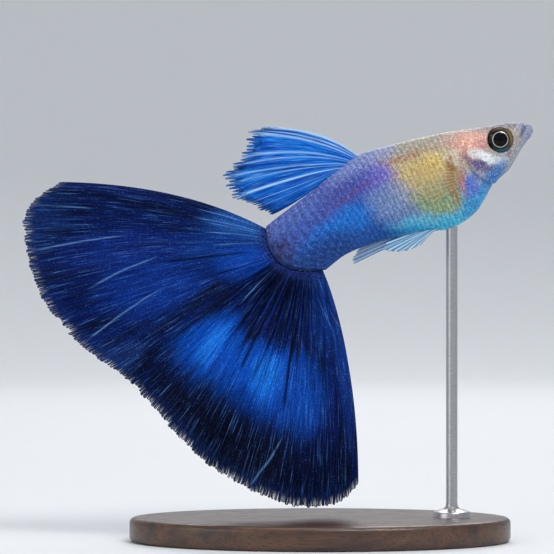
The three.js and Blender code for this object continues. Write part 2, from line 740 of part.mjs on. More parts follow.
function meshOf(name, solid, material) {
  const made = solid.getMesh();
  const positions = new Float32Array(made.numVert * 3);
  for (let i = 0; i < made.numVert; i++) {
    positions.set(made.vertProperties.subarray(i * made.numProp, i * made.numProp + 3), i * 3);
  }
  const geometry = new THREE.BufferGeometry();
  geometry.setAttribute("position", new THREE.BufferAttribute(positions, 3));
  geometry.setIndex(new THREE.BufferAttribute(new Uint32Array(made.triVerts), 1));
  geometry.computeVertexNormals();
  const mesh = new THREE.Mesh(geometry, material);
  mesh.name = name;
  return mesh;
}

const fish = new THREE.Group();
fish.add(meshOf("head", headSolid(), MATERIALS.head));
fish.add(meshOf("trunk", trunkSolid(), MATERIALS.trunk));
fish.add(meshOf("tail_stalk", tailStalkSolid(), MATERIALS.stalk));
fish.add(meshOf("tail_fin", tailFinSolid(), MATERIALS.tailFin));
fish.add(meshOf("dorsal_fin", dorsalFinSolid(), MATERIALS.dorsalFin));
fish.add(meshOf("gonopodium", gonopodiumSolid(), MATERIALS.clearFin));
for (const [word, side] of [
  ["left", 1],
  ["right", -1],
]) {
  fish.add(meshOf("gill_cover_" + word, gillCoverSolid(side), MATERIALS.head));
  fish.add(meshOf("eye_" + word, eyeSolid(side, 0), MATERIALS.eye));
  fish.add(meshOf("pectoral_fin_" + word, pectoralFinSolid(side), MATERIALS.clearFin));
  fish.add(meshOf("pelvic_fin_" + word, pelvicFinSolid(side), MATERIALS.clearFin));
}

const stand = new THREE.Group();
stand.add(meshOf("stand_base", baseSolid(), MATERIALS.base));
stand.add(meshOf("stand_rod", rodSolid(), MATERIALS.rod));

const model = new THREE.Group();
model.add(fish, stand);

export default model;
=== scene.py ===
# A male fancy guppy with a delta tail on a display stand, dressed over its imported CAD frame.
# The stand takes its size from the frame, and the fish repeats the curves that the frame was made from.
# Sizes are in millimetres, apart from those of the camera, the studio and the lights, which are in metres.
import math

import bpy
import numpy as np
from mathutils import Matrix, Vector


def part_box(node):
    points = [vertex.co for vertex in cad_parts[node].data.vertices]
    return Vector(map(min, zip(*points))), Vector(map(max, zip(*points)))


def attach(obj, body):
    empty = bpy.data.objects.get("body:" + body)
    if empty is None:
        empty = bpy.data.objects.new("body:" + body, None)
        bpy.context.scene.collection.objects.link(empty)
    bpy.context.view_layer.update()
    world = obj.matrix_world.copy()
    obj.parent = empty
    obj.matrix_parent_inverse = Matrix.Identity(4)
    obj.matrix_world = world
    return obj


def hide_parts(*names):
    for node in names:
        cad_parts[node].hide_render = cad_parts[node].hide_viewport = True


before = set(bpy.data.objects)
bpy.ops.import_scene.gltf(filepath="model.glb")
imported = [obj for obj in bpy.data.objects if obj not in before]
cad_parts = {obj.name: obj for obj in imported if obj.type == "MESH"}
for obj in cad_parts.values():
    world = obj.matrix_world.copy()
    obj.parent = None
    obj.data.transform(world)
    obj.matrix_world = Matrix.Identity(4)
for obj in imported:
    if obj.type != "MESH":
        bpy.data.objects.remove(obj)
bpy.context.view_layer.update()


# Camera and studio.
# The photo is a level view of the fish's right side, taken with a long lens. The floor curves up into a
# pale wall all round, so that the model stands in plain soft light from every side.
MM = 0.001
VIEW_CENTRE = Vector((-4.515, 0.0, 27.72)) * MM
VIEW_WIDTH = 58.17 * MM
LENS = 180
SENSOR = 36

camera = bpy.data.objects.new("camera", bpy.data.cameras.new("camera"))
bpy.context.collection.objects.link(camera)
camera.data.lens = LENS
camera.data.sensor_width = SENSOR
camera.data.clip_start = 0.01
camera.location = VIEW_CENTRE + Vector((0, -VIEW_WIDTH * LENS / SENSOR, 0))
camera.rotation_euler = (math.radians(90), 0, 0)
bpy.context.scene.camera = camera
bpy.context.scene.view_settings.view_transform = "Standard"

STUDIO_RADIUS = 0.8
STUDIO_BEND = 0.35
STUDIO_HEIGHT = 1.1
FLOOR_DROP = 0.00002


def grid_sheet(name, across, along):
    """A grid primitive of across by along faces. Returns it with the place of each vertex from 0 to 1."""
    bpy.ops.object.select_all(action="DESELECT")
    bpy.ops.mesh.primitive_grid_add(x_subdivisions=across, y_subdivisions=along, size=2)
    piece = bpy.context.active_object
    piece.name = name
    piece.data.name = name
    places = np.empty(len(piece.data.vertices) * 3)
    piece.data.vertices.foreach_get("co", places)
    places = places.reshape(-1, 3) / 2 + 0.5
    return piece, places[:, 0], places[:, 1]


def move_vertices(piece, points):
    """Puts a piece's vertices at points in millimetres, one row each."""
    piece.data.vertices.foreach_set("co", (points * MM).ravel())
    piece.data.update()


studio, around, out = grid_sheet("studio", 96, 60)
turn = 2 * math.pi * around
flat = STUDIO_RADIUS - STUDIO_BEND
reach = out * (flat + STUDIO_BEND * math.pi / 2 + STUDIO_HEIGHT)
bend = np.clip((reach - flat) / STUDIO_BEND, 0, math.pi / 2)
radius = np.minimum(reach, flat) + STUDIO_BEND * np.sin(bend)
height = STUDIO_BEND * (1 - np.cos(bend)) + np.maximum(reach - flat - STUDIO_BEND * math.pi / 2, 0)
move_vertices(studio, np.stack([radius * np.cos(turn), radius * np.sin(turn), height - FLOOR_DROP], 1) / MM)
studio.data.shade_smooth()


class Wire:
    """A value in a material: arithmetic on wires adds math nodes."""

    def __init__(self, finish, socket):
        self.finish = finish
        self.socket = socket

    def _math(self, operation, *values):
        inputs = dict(enumerate(values))
        return self.finish.node("ShaderNodeMath", {"operation": operation}, inputs)

    def __add__(self, other):
        return self._math("ADD", self, other)

    def __radd__(self, other):
        return self._math("ADD", other, self)

    def __sub__(self, other):
        return self._math("SUBTRACT", self, other)

    def __rsub__(self, other):
        return self._math("SUBTRACT", other, self)

    def __mul__(self, other):
        return self._math("MULTIPLY", self, other)

    def __rmul__(self, other):
        return self._math("MULTIPLY", other, self)

    def __truediv__(self, other):
        return self._math("DIVIDE", self, other)

    def __pow__(self, other):
        return self._math("POWER", self, other)

    def __mod__(self, other):
        return self._math("FLOORED_MODULO", self, other)

    def __abs__(self):
        return self._math("ABSOLUTE", self)

    def at_least(self, other):
        return self._math("MAXIMUM", self, other)

    def sin(self):
        return self._math("SINE", self)

    def cos(self):
        return self._math("COSINE", self)

    def step(self, start, end):
        """0 before start, 1 after end, and smooth between."""
        inputs = {"Value": self, "From Min": start, "From Max": end}
        return self.finish.node("ShaderNodeMapRange", {"interpolation_type": "SMOOTHSTEP"}, inputs)


class Finish:
    """A material with a Principled shader, whose other nodes come from one method."""

    def __init__(self, name, **constants):
        self.material = bpy.data.materials.new(name)
        self.material.use_nodes = True
        self.tree = self.material.node_tree
        self.shader = self.tree.nodes["Principled BSDF"]
        for key, value in constants.items():
            self.shader.inputs[key.replace("_", " ").title().replace("Ior", "IOR")].default_value = value

    def node(self, kind, settings, inputs, output=0):
        made = self.tree.nodes.new(kind)
        for key, value in settings.items():
            setattr(made, key, value)
        for key, value in inputs.items():
            if isinstance(value, Wire):
                self.tree.links.new(value.socket, made.inputs[key])
            else:
                made.inputs[key].default_value = value
        return Wire(self, made.outputs[output])

    def feed(self, key, wire):
        self.tree.links.new(wire.socket, self.shader.inputs[key])

    def mix(self, base, top, factor, blend="MIX"):
        """One colour laid over another."""
        settings = {"data_type": "RGBA", "blend_type": blend}
        return self.node("ShaderNodeMix", settings, {0: factor, 6: base, 7: top}, output=2)

    def split(self, vector):
        return [self.node("ShaderNodeSeparateXYZ", {}, {0: vector}, output=i) for i in range(3)]

    def place(self):
        """The place on the object in millimetres."""
        at = self.node("ShaderNodeTexCoord", {}, {}, output=3)
        return self.node("ShaderNodeVectorMath", {"operation": "SCALE"}, {0: at, "Scale": 1 / MM})

    def uv(self):
        return self.split(self.node("ShaderNodeUVMap", {}, {}))

    def stretch(self, vector, x, y, z):
        """A vector with each of its directions scaled."""
        return self.node("ShaderNodeVectorMath", {"operation": "MULTIPLY"}, {0: vector, 1: (x, y, z)})

    def spread(self, across, along):
        """A place on a sheet, from two wires."""
        return self.node("ShaderNodeCombineXYZ", {}, {0: across, 1: along})

    def noise(self, vector, scale, detail=2.0, roughness=0.5):
        inputs = {"Vector": vector, "Scale": scale, "Detail": detail, "Roughness": roughness}
        return self.node("ShaderNodeTexNoise", {}, inputs)

    def bump(self, height, strength, distance):
        """Relief that follows height. distance is in millimetres."""
        inputs = {"Height": height, "Strength": strength, "Distance": distance * MM}
        self.feed("Normal", self.node("ShaderNodeBump", {}, inputs))


def rgb(red, green, blue):
    """A colour as a screen shows it, from 0 to 255, as the shader needs it."""
    linear = [((c / 255 + 0.055) / 1.055) ** 2.4 if c > 10 else c / 255 / 12.92 for c in (red, green, blue)]
    return (*linear, 1.0)


STUDIO_PALE = rgb(226, 228, 231)
STUDIO_PALER = rgb(231, 233, 235)
AIR_COLOUR = (0.95, 0.97, 1.0, 1.0)
AIR_STRENGTH = 0.72
paper = Finish("studio_paper", roughness=0.9)
paper.feed("Base Color", paper.mix(STUDIO_PALE, STUDIO_PALER, paper.noise(paper.place(), 0.004)))
studio.data.materials.append(paper.material)

world = bpy.data.worlds.new("studio_air")
world.use_nodes = True
world.node_tree.nodes["Background"].inputs["Color"].default_value = AIR_COLOUR
world.node_tree.nodes["Background"].inputs["Strength"].default_value = AIR_STRENGTH
bpy.context.scene.world = world


def soft_light(name, place, width, height, power, aim=(-2.0, 0.0, 30.0)):
    """A rectangular soft box that points at the fish."""
    lamp = bpy.data.lights.new(name, "AREA")
    lamp.shape = "RECTANGLE"
    lamp.size = width
    lamp.size_y = height
    lamp.energy = power
    light = bpy.data.objects.new(name, lamp)
    bpy.context.collection.objects.link(light)
    light.location = place
    light.rotation_euler = (Vector(aim) * MM - light.location).to_track_quat("-Z", "Y").to_euler()


soft_light("key_light", (0.16, -0.3, 0.4), 0.22, 0.16, 1.2)
soft_light("fill_light", (-0.38, -0.3, 0.18), 0.3, 0.3, 0.4)
soft_light("rim_light", (0.05, 0.4, 0.35), 0.3, 0.2, 0.8)
soft_light("top_light", (0.0, 0.0, 0.5), 0.3, 0.3, 0.3)


# Skin.
# A living guppy's skin is one wet, scaly cover from the lips to the end of the tail stalk, so one sheet
# replaces the head, gill covers, trunk and stalk. Its relief holds the lips, nostrils, eye sockets,
# gill covers and the overlapping scales.
SKIN_INSET = 0.05
SPINE = np.array([[22.1, 0, 43.2], [13.7, 0.5, 40.1], [6.2, 0.6, 37.7], [-2.45, -0.7, 30.55]])
# Shares of the spine, then the height above it, the depth below it, the half width, and the pinch of
# the back and of the belly, as in the frame's own sections.
SECTIONS = np.array(
    [
        [0.0, 0.42, 0.3, 0.45, 0.8, 1.0],
        [0.02, 0.92, 0.72, 0.85, 0.8, 1.0],
        [0.05, 1.33, 1.4, 1.3, 0.75, 1.05],
        [0.09, 1.67, 2.3, 1.75, 0.72, 1.15],
        [0.13, 1.9, 3.15, 2.08, 0.72, 1.2],
        [0.18, 2.11, 3.7, 2.38, 0.75, 1.15],
        [0.22, 2.33, 4.15, 2.55, 0.8, 1.05],
        [0.27, 2.61, 5.2, 2.72, 0.85, 0.95],
        [0.33, 3.0, 6.2, 2.85, 0.92, 0.88],
        [0.44, 3.55, 6.72, 2.85, 1.0, 0.88],
        [0.54, 4.05, 6.12, 2.65, 1.1, 0.95],
        [0.65, 4.6, 5.2, 2.3, 1.15, 1.05],
        [0.76, 4.27, 4.3, 1.85, 1.12, 1.1],
        [0.88, 3.95, 3.6, 1.35, 1.05, 1.05],
        [1.0, 4.0, 3.6, 0.5, 0.9, 0.9],
    ]
)
END_STARTS = 0.84
END_GROWS = 0.97
END_LEAN = 1.0
END_BULGE = 2.3
LEAST_HALF = 0.05
NOSE_CAP = 0.22
NOSE_TURN = math.radians(50)


def smooth(value):
    """0 up to 0, 1 from 1 on, and smooth between."""
    x = np.clip(value, 0, 1)
    return x * x * (3 - 2 * x)


def section(column, t):
    """One column of the sections, on a smooth curve through its rows."""
    shares = SECTIONS[:, 0]
    values = SECTIONS[:, column]
    i = np.clip(np.searchsorted(shares, t, side="left") - 1, 0, len(shares) - 2)
    before = np.maximum(i - 1, 0)
    after = np.minimum(i + 2, len(shares) - 1)
    span = shares[i + 1] - shares[i]
    f = (t - shares[i]) / span
    left = (values[i + 1] - values[before]) / (shares[i + 1] - shares[before]) * span
    right = (values[after] - values[i]) / (shares[after] - shares[i]) * span
    f2 = f * f
    f3 = f2 * f
    ends = (2 * f3 - 3 * f2 + 1) * values[i] + (3 * f2 - 2 * f3) * values[i + 1]
    return ends + (f3 - 2 * f2 + f) * left + (f3 - f2) * right


def spine_frame(t):
    """The spine's point at t, with its directions back, to the fish's left and up."""
    t = np.asarray(t, float)[..., None]
    a, b, c, d = SPINE
    at = (1 - t) ** 3 * a + 3 * t * (1 - t) ** 2 * b + 3 * t**2 * (1 - t) * c + t**3 * d
    back = 3 * (1 - t) ** 2 * (b - a) + 6 * t * (1 - t) * (c - b) + 3 * t**2 * (d - c)
    back /= np.linalg.norm(back, axis=-1, keepdims=True)
    left = np.cross(back, [0, 0, 1])
    left /= np.linalg.norm(left, axis=-1, keepdims=True)
    return at, back, left, np.cross(left, back)


def end_reach(t, rise):
    """How far the rounded end of the stalk reaches back, at a rise from 1 at its top to -1 at its foot."""
    bulge = END_LEAN * rise + END_BULGE * (1 - rise * rise)
    return smooth((t - END_STARTS) / (1 - END_STARTS)) * bulge


def body_point(t, angle, grow=0.0, slim=1.0):
    """A point of the skin. angle runs from 0 at the back over the left side to pi at the belly."""
    t = np.asarray(t, float)
    at, back, left, up = spine_frame(t)
    rise = np.cos(angle)
    side = np.sin(angle)
    tall = np.maximum(np.where(rise > 0, section(1, t), section(2, t)) + grow, LEAST_HALF)
    wide = np.maximum(section(3, t) + grow, LEAST_HALF) * slim
    pinch = np.where(rise > 0, section(4, t), section(5, t))
    out_to_side = np.sign(side) * np.abs(side) ** pinch * wide
    reach = end_reach(t, rise) + grow * smooth((t - END_GROWS) / (1 - END_GROWS))
    return at + up * (rise * tall)[..., None] + left * out_to_side[..., None] + back * reach[..., None]


SKIN_ALONG = 430
SKIN_AROUND = 210
NOSE_ROWS = 0.03
HEAD_CROWDING = 1.15
END_ROUNDS = 0.985
skin, around, along = grid_sheet("skin", SKIN_AROUND, SKIN_ALONG)
nose = np.clip(along / NOSE_ROWS, 0, 1)
t = (np.clip(along - NOSE_ROWS, 0, 1) / (1 - NOSE_ROWS)) ** HEAD_CROWDING
angle = 2 * math.pi * (around - 0.5)
closing = np.clip((t - END_ROUNDS) / (1 - END_ROUNDS), 0, 1)
slim = np.sqrt(np.maximum(1 - closing**2, 0))
shell = body_point(t, angle, -SKIN_INSET, slim)
tip, tip_back, _, _ = spine_frame(0.0)
cap = np.sin(nose * NOSE_TURN) / math.sin(NOSE_TURN)
ahead = NOSE_CAP * (np.cos(nose * NOSE_TURN) - math.cos(NOSE_TURN)) / (1 - math.cos(NOSE_TURN))
rounded_nose = tip - tip_back * ahead[:, None] + (shell - tip) * cap[:, None]
points = np.where(nose[:, None] < 1, rounded_nose, shell)
outward = points - spine_frame(t)[0]
outward -= np.sum(outward * spine_frame(t)[1], 1, keepdims=True) * spine_frame(t)[1]
outward /= np.maximum(np.linalg.norm(outward, axis=1, keepdims=True), 1e-6)

# Overlapping scales: each rises to its rounded rear edge, in rows that are staggered by half a scale.
SCALES_ALONG = 27
SCALES_AROUND = 18
SCALES_START = 0.2
SCALES_FADE = 0.12
SCALES_STOP = 0.96
SCALE_RELIEF = 0.02
SCALE_ROUNDING = 1.6


def scale_relief(t, angle):
    """The height of the scales, from 0 to 1."""
    relief = np.zeros_like(t)
    for stagger in (0.0, 0.5):
        across = (angle / (2 * math.pi) * SCALES_AROUND + stagger) % 1 - 0.5
        rear = 1 - SCALE_ROUNDING * across**2
        share = (t * SCALES_ALONG + stagger) % 1 / rear
        relief = np.maximum(relief, np.where(share < 1, share, 0) * (1 - 1.5 * across**2))
    return relief


scaled_here = smooth((t - SCALES_START) / SCALES_FADE) * (1 - smooth((t - SCALES_STOP) / (1 - SCALES_STOP)))
relief = SCALE_RELIEF * scale_relief(t, angle) * scaled_here

# The gill covers stand proud of the shoulder, with a crease behind their edge and a faint one in front of
# their own plate.
GILL_CENTRE = (18.6, 41.0)
GILL_RADIUS = 3.45
GILL_INNER_RADIUS = 2.05
GILL_ARC_START = 155
GILL_ARC_END = 262
GILL_RISE = 0.14
GILL_CREASE = 0.16
GILL_INNER_CREASE = 0.06
from_gill = np.hypot(points[:, 0] - GILL_CENTRE[0], points[:, 2] - GILL_CENTRE[1])
bearing = np.degrees(np.arctan2(points[:, 2] - GILL_CENTRE[1], points[:, 0] - GILL_CENTRE[0])) % 360
on_arc = smooth((bearing - GILL_ARC_START) / 35) * (1 - smooth((bearing - GILL_ARC_END) / 14))
step = smooth((GILL_RADIUS + 0.02 - from_gill) / 0.12)
relief += GILL_RISE * on_arc * step * smooth((from_gill - 1.6) / 1.6)
relief -= GILL_CREASE * on_arc * np.exp(-(((from_gill - GILL_RADIUS - 0.12) / 0.13) ** 2))
relief -= GILL_INNER_CREASE * on_arc * np.exp(-(((from_gill - GILL_INNER_RADIUS) / 0.1) ** 2))

# Eye sockets, with a low rim round them.
EYE = (18.76, 42.05)
EYE_RADIUS = 1.4
SOCKET_DEPTH = 0.55
SOCKET_RIM = 0.07
from_eye = np.hypot(points[:, 0] - EYE[0], points[:, 2] - EYE[1])
on_side = smooth((np.abs(points[:, 1]) - 0.9) / 0.4)
socket = smooth((EYE_RADIUS + 0.02 - from_eye) / 0.16)
relief = relief * (1 - socket) - SOCKET_DEPTH * socket * on_side
relief += SOCKET_RIM * on_side * np.exp(-(((from_eye - EYE_RADIUS - 0.16) / 0.14) ** 2))

# Lips on both sides of the gape, which drops from the top of the snout to the corners of the mouth.
GAPE_TOP = np.array([21.44, 43.65])
GAPE_CORNER = np.array([20.93, 42.25])
GAPE_DEPTH = 0.42
UPPER_LIP = 0.12
LOWER_LIP = 0.18
LOWER_LIP_TIP = 0.1
gape_down = (GAPE_CORNER - GAPE_TOP) / np.linalg.norm(GAPE_CORNER - GAPE_TOP)
gape_forward = np.array([-gape_down[1], gape_down[0]])
flat_place = points[:, [0, 2]] - GAPE_CORNER
ahead_of_gape = flat_place @ gape_forward
above_corner = -(flat_place @ gape_down)
open_here = smooth((above_corner + 0.12) / 0.3)
on_lower_lip = smooth((ahead_of_gape - 0.1) / 0.25)
relief += UPPER_LIP * open_here * np.exp(-(((ahead_of_gape + 0.3) / 0.16) ** 2))
relief += LOWER_LIP * smooth((above_corner + 1.5) / 2.2) * on_lower_lip
relief += LOWER_LIP_TIP * np.exp(-(((t - 0.012) / 0.009) ** 2)) * on_lower_lip
relief -= GAPE_DEPTH * open_here * np.exp(-((ahead_of_gape / 0.1) ** 2))

# Nostrils are two small pits on each side, in front of the eye.
NOSTRILS = ((20.1, 43.2, 0.13), (19.75, 43.42, 0.1))
NOSTRIL_DEPTH = 0.12
for x, z, size in NOSTRILS:
    from_pit = np.hypot(points[:, 0] - x, points[:, 2] - z)
    relief -= NOSTRIL_DEPTH * smooth((np.abs(points[:, 1]) - 0.4) / 0.2) * np.exp(-((from_pit / size) ** 2))

move_vertices(skin, points + outward * relief[:, None])
uv_layer = skin.data.uv_layers.active.data
loop_vertex = np.empty(len(skin.data.loops), int)
skin.data.loops.foreach_get("vertex_index", loop_vertex)
uv_layer.foreach_set("uv", np.stack([t[loop_vertex], around[loop_vertex]], 1).ravel())


def close_seams(piece, distance=0.0005):
    """Merges the doubled vertices where a sheet meets itself, and turns its faces outwards."""
    bpy.ops.object.select_all(action="DESELECT")
    piece.select_set(True)
    bpy.context.view_layer.objects.active = piece
    bpy.ops.object.mode_set(mode="EDIT")
    bpy.ops.mesh.select_all(action="SELECT")
    bpy.ops.mesh.remove_doubles(threshold=distance * MM)
    bpy.ops.mesh.normals_make_consistent(inside=False)
    bpy.ops.object.mode_set(mode="OBJECT")
    piece.data.shade_smooth()


close_seams(skin)

# Markings lie where the share of the spine, s, and the height, h, from 1 at the back to -1 at the belly say.
# Each has its middle, its reach both ways, its slant, its colour and its strength.
MARKINGS = [
    ("cream head", 0.1, 0.0, 0.2, 1.6, 0.0, (164, 158, 150), 1.0),
    ("grey crown", 0.12, 1.0, 0.22, 0.4, 0.0, (108, 108, 128), 0.9),
    ("silver back", 0.43, 0.95, 0.2, 0.46, 0.0, (154, 148, 132), 1.0),
    ("lilac back", 0.66, 0.98, 0.13, 0.36, 0.0, (122, 138, 200), 0.9),
    ("pink nape", 0.27, 0.68, 0.12, 0.24, 0.0, (190, 160, 152), 0.7),
    ("salmon cheek", 0.255, 0.34, 0.085, 0.5, 0.0, (220, 158, 138), 1.0),
    ("rose gill edge", 0.205, 0.1, 0.02, 0.3, 0.0, (206, 120, 130), 0.6),
    ("gold flank", 0.475, 0.1, 0.13, 0.5, 0.0, (202, 176, 104), 1.0),
    ("bright gold", 0.42, 0.1, 0.05, 0.26, 0.0, (226, 190, 96), 0.8),
    ("brown line", 0.51, 0.56, 0.1, 0.12, 0.0, (158, 116, 90), 0.8),
    ("pale gold flank", 0.5, -0.32, 0.09, 0.15, 0.0, (166, 168, 132), 0.8),
    ("green belly", 0.46, -0.6, 0.11, 0.28, 0.0, (134, 162, 104), 1.0),
    ("cyan belly", 0.44, -0.95, 0.22, 0.19, 0.0, (6, 186, 234), 1.0),
    ("cyan vent", 0.6, -0.74, 0.09, 0.14, 0.0, (84, 190, 232), 0.8),
    ("deep cyan breast", 0.31, -0.92, 0.08, 0.2, 0.0, (16, 136, 206), 0.9),
    ("silver cheek", 0.155, -0.62, 0.03, 0.22, 0.0, (170, 186, 212), 0.8),
    ("magenta fleck", 0.117, -0.56, 0.014, 0.1, 0.0, (132, 62, 100), 0.75),
    ("blue throat", 0.2, -0.84, 0.055, 0.28, 0.0, (8, 104, 182), 1.0),
    ("white flash", 0.212, -0.28, 0.025, 0.28, -0.11, (240, 248, 252), 1.0),
    ("purple gill edge", 0.246, -0.36, 0.019, 0.3, -0.12, (78, 64, 128), 0.95),
    ("violet chest", 0.305, -0.57, 0.04, 0.18, 0.0, (70, 104, 206), 0.95),
    ("pink pectoral base", 0.336, -0.4, 0.022, 0.22, 0.02, (178, 112, 112), 0.9),
    ("cream shoulder", 0.335, 0.1, 0.034, 0.2, 0.0, (226, 212, 190), 0.9),
    ("brown band", 0.37, -0.26, 0.02, 0.42, 0.06, (148, 102, 28), 1.0),
    ("violet side", 0.64, 0.34, 0.07, 0.32, 0.0, (108, 98, 200), 1.0),
    ("dim violet side", 0.77, 0.42, 0.12, 0.3, 0.0, (70, 72, 152), 0.9),
    ("grey-blue side", 0.64, -0.26, 0.09, 0.42, 0.0, (116, 140, 186), 0.95),
    ("azure loin", 0.83, -0.18, 0.11, 0.36, 0.0, (2, 110, 214), 1.0),
    ("deep blue keel", 0.94, -0.55, 0.12, 0.5, 0.0, (0, 44, 118), 1.0),
    ("plum streak", 0.74, 0.35, 0.09, 0.07, 0.0, (96, 68, 128), 0.7),
    ("lilac stalk", 0.92, 0.74, 0.08, 0.3, 0.0, (66, 92, 170), 0.8),
    ("plum stalk end", 0.985, 0.26, 0.04, 0.34, 0.0, (48, 34, 86), 1.0),
    ("dark stalk rim", 1.0, -0.1, 0.025, 1.1, 0.0, (14, 30, 84), 0.85),
    ("lilac lips", 0.0, 0.0, 0.045, 3.0, 0.0, (130, 138, 172), 0.95),
]

# The ground colours under the markings, the darks between the glints, and the glints.
BREAST_BLUE = rgb(14, 126, 200)
BACK_CREAM = rgb(172, 158, 138)
LOIN_BLUE = rgb(18, 76, 162)
LOIN_LILAC = rgb(60, 80, 164)
STROKE_SHADE = rgb(12, 12, 34)
GLITTER_SHADE = rgb(10, 8, 26)
COLUMN_SHADE = rgb(16, 16, 40)
SCALE_SHADE = rgb(16, 18, 44)
PEPPER_SHADE = rgb(30, 24, 34)
HEAD_GLINT_WHITE = rgb(250, 248, 244)
GLINT_WHITE = rgb(244, 242, 236)
GLINT_BLUE = rgb(112, 168, 250)
STROKES_ALONG = 210.0
STROKES_AROUND = 84.0
DARK_COLUMNS = 2 * SCALES_ALONG

wet = Finish("wet_scales", roughness=0.4, specular_ior_level=0.12, coat_weight=0.05, coat_roughness=0.15)
share, turn, _ = wet.uv()
height = ((turn - 0.5) * (2 * math.pi)).cos()
place = wet.place()
strokes = wet.noise(wet.spread(share * STROKES_ALONG, turn * STROKES_AROUND), 1.0, 3.0, 0.65)
glitter = wet.noise(place, 5.0, 4.0, 0.75)
pepper = wet.noise(place, 9.0, 3.0, 0.8)
wander = wet.noise(place, 0.8, 3.0) - 0.5
front = wet.mix(BREAST_BLUE, BACK_CREAM, height.step(-0.8, -0.1))
colour = wet.mix(LOIN_BLUE, LOIN_LILAC, height.step(-0.5, 0.5))
colour = wet.mix(front, colour, share.step(0.52, 0.68))
for _, s, h, reach_s, reach_h, slant, tint, strength in MARKINGS:
    off_h = (height - h + wander * 0.24) / reach_h
    off_s = (share - s + (height - h) * slant + wander * 0.06) / reach_s
    away = off_s * off_s + off_h * off_h + (strokes - 0.5) * 1.1
    colour = wet.mix(colour, rgb(*tint), (1 - away.step(-0.3, 2.0)) * strength)
scale_light = None
for stagger in (0.0, 0.5):
    across = (turn * SCALES_AROUND + stagger) % 1 - 0.5
    rear = 1 - across * across * SCALE_ROUNDING
    inside = ((share * SCALES_ALONG + stagger) % 1) / rear
    light = inside.step(0.15, 0.55) * (1 - inside.step(0.62, 0.82))
    scale_light = light if scale_light is None else scale_light.at_least(light)
scaly = share.step(0.24, 0.4)
smooth_head = 1 - scaly
growth = ((share * (2 * math.pi * DARK_COLUMNS) + wander * 3.0).sin() * 0.5 + 0.5) * scaly
stroke_dark = (1 - strokes.step(0.3, 0.5)) * (scaly * 0.3 + share.step(0.5, 0.75) * 0.3 + 0.16)
column_dark = (1 - growth.step(0.0, 0.6)) * scaly * strokes.step(0.2, 0.6) * 0.4
colour = wet.mix(colour, STROKE_SHADE, stroke_dark)
colour = wet.mix(colour, GLITTER_SHADE, (1 - glitter.step(0.33, 0.48)) * 0.55)
colour = wet.mix(colour, COLUMN_SHADE, column_dark)
blue_glints = share.step(0.5, 0.72) * (1 - height.step(0.4, 1.0) * 0.6)
glint = wet.mix(GLINT_WHITE, GLINT_BLUE, blue_glints)
colour = wet.mix(colour, colour, strokes.step(0.5, 0.7) * (scaly * 0.4 + 0.2), "SCREEN")
# Painted highlights: where the glitter noise is high, the colour is brightened and the glint colour laid on.
colour = wet.mix(colour, colour, glitter.step(0.48, 0.64) * 0.8, "SCREEN")
colour = wet.mix(colour, glint, glitter.step(0.6, 0.72) * 0.7)
colour = wet.mix(colour, PEPPER_SHADE, (1 - pepper.step(0.34, 0.46)) * smooth_head * 0.5)
# Painted glints on the smooth head, where the pepper noise is high.
colour = wet.mix(colour, HEAD_GLINT_WHITE, pepper.step(0.56, 0.67) * smooth_head * 0.5)
colour = wet.mix(colour, SCALE_SHADE, (1 - scale_light) * scaly * 0.12)
colour = wet.mix(colour, glint, (scale_light * glitter * 0.14 + growth * 0.03) * scaly)
wet.feed("Base Color", colour)
wet.feed("Metallic", glitter.step(0.5, 0.7) * 0.3)
wet.feed("Roughness", 0.5 - glitter * 0.2)
wet.bump(glitter * 0.6 + strokes * 0.6 + scale_light * scaly * 0.3, 0.5, 0.03)
skin.data.materials.append(wet.material)
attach(skin, "root")
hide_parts("head", "gill_cover_left", "gill_cover_right", "trunk", "tail_stalk")


# Eyes.
# A fish has no lids: each eye is a clear wet dome over a silver-ringed iris and a large black pupil. It is a
# flattened ball that sits in its socket in the skin and stands a little proud of the side of the head.
EYE_DEEP = 0.85
EYE_PROUD = 0.36
EYE_SHARE = 0.135
PUPIL = 0.75
RING = 0.84
PUPIL_BLACK = rgb(4, 5, 7)
RING_SILVER = rgb(196, 196, 184)
IRIS_DARK = rgb(20, 24, 30)
IRIS_BROWN = rgb(72, 66, 56)
IRIS_GOLD_HIGHLIGHT = rgb(176, 140, 84)
IRIS_BRONZE_HIGHLIGHT = rgb(120, 96, 72)
IRIS_TEAL = rgb(40, 104, 124)
shiny = Finish("clear_eye", roughness=0.08, specular_ior_level=0.14)
x, _, z = shiny.split(shiny.place())
to_x = x - EYE[0]
to_z = z - EYE[1]
reach = (to_x * to_x + to_z * to_z) ** 0.5
marbled = shiny.noise(shiny.place(), 3.0, 3.0)
iris = shiny.mix(IRIS_DARK, IRIS_BROWN, marbled.step(0.4, 0.75))
# Painted highlights on the outer iris: gold towards its front and bronze along its top.
gold = (to_x * 0.9 + to_z * 0.35).step(0.6, 1.15) * reach.step(0.92, 1.08)
iris = shiny.mix(iris, IRIS_GOLD_HIGHLIGHT, gold * 0.6)
bronze_highlight = (to_z * 0.9 - to_x * 0.2).step(0.7, 1.2) * reach.step(0.95, 1.1)
iris = shiny.mix(iris, IRIS_BRONZE_HIGHLIGHT, bronze_highlight * 0.6)
teal = (to_z * -1.0 + to_x * 0.2).step(0.7, 1.15) * reach.step(0.95, 1.1)
iris = shiny.mix(iris, IRIS_TEAL, teal * 0.65)
iris = shiny.mix(iris, IRIS_DARK, reach.step(1.2, 1.34) * 0.7)
from_ring = abs(reach - 0.5 * (PUPIL + RING))
iris = shiny.mix(iris, RING_SILVER, (1 - from_ring.step(0.015, 0.06)) * 0.85)
iris = shiny.mix(PUPIL_BLACK, iris, reach.step(PUPIL - 0.03, PUPIL + 0.02))
shiny.feed("Base Color", iris)
shiny.feed("Metallic", reach.step(PUPIL, RING) * 0.45)
eye_half = float(section(3, np.array(EYE_SHARE)))
spine_y = float(spine_frame(EYE_SHARE)[0][1])
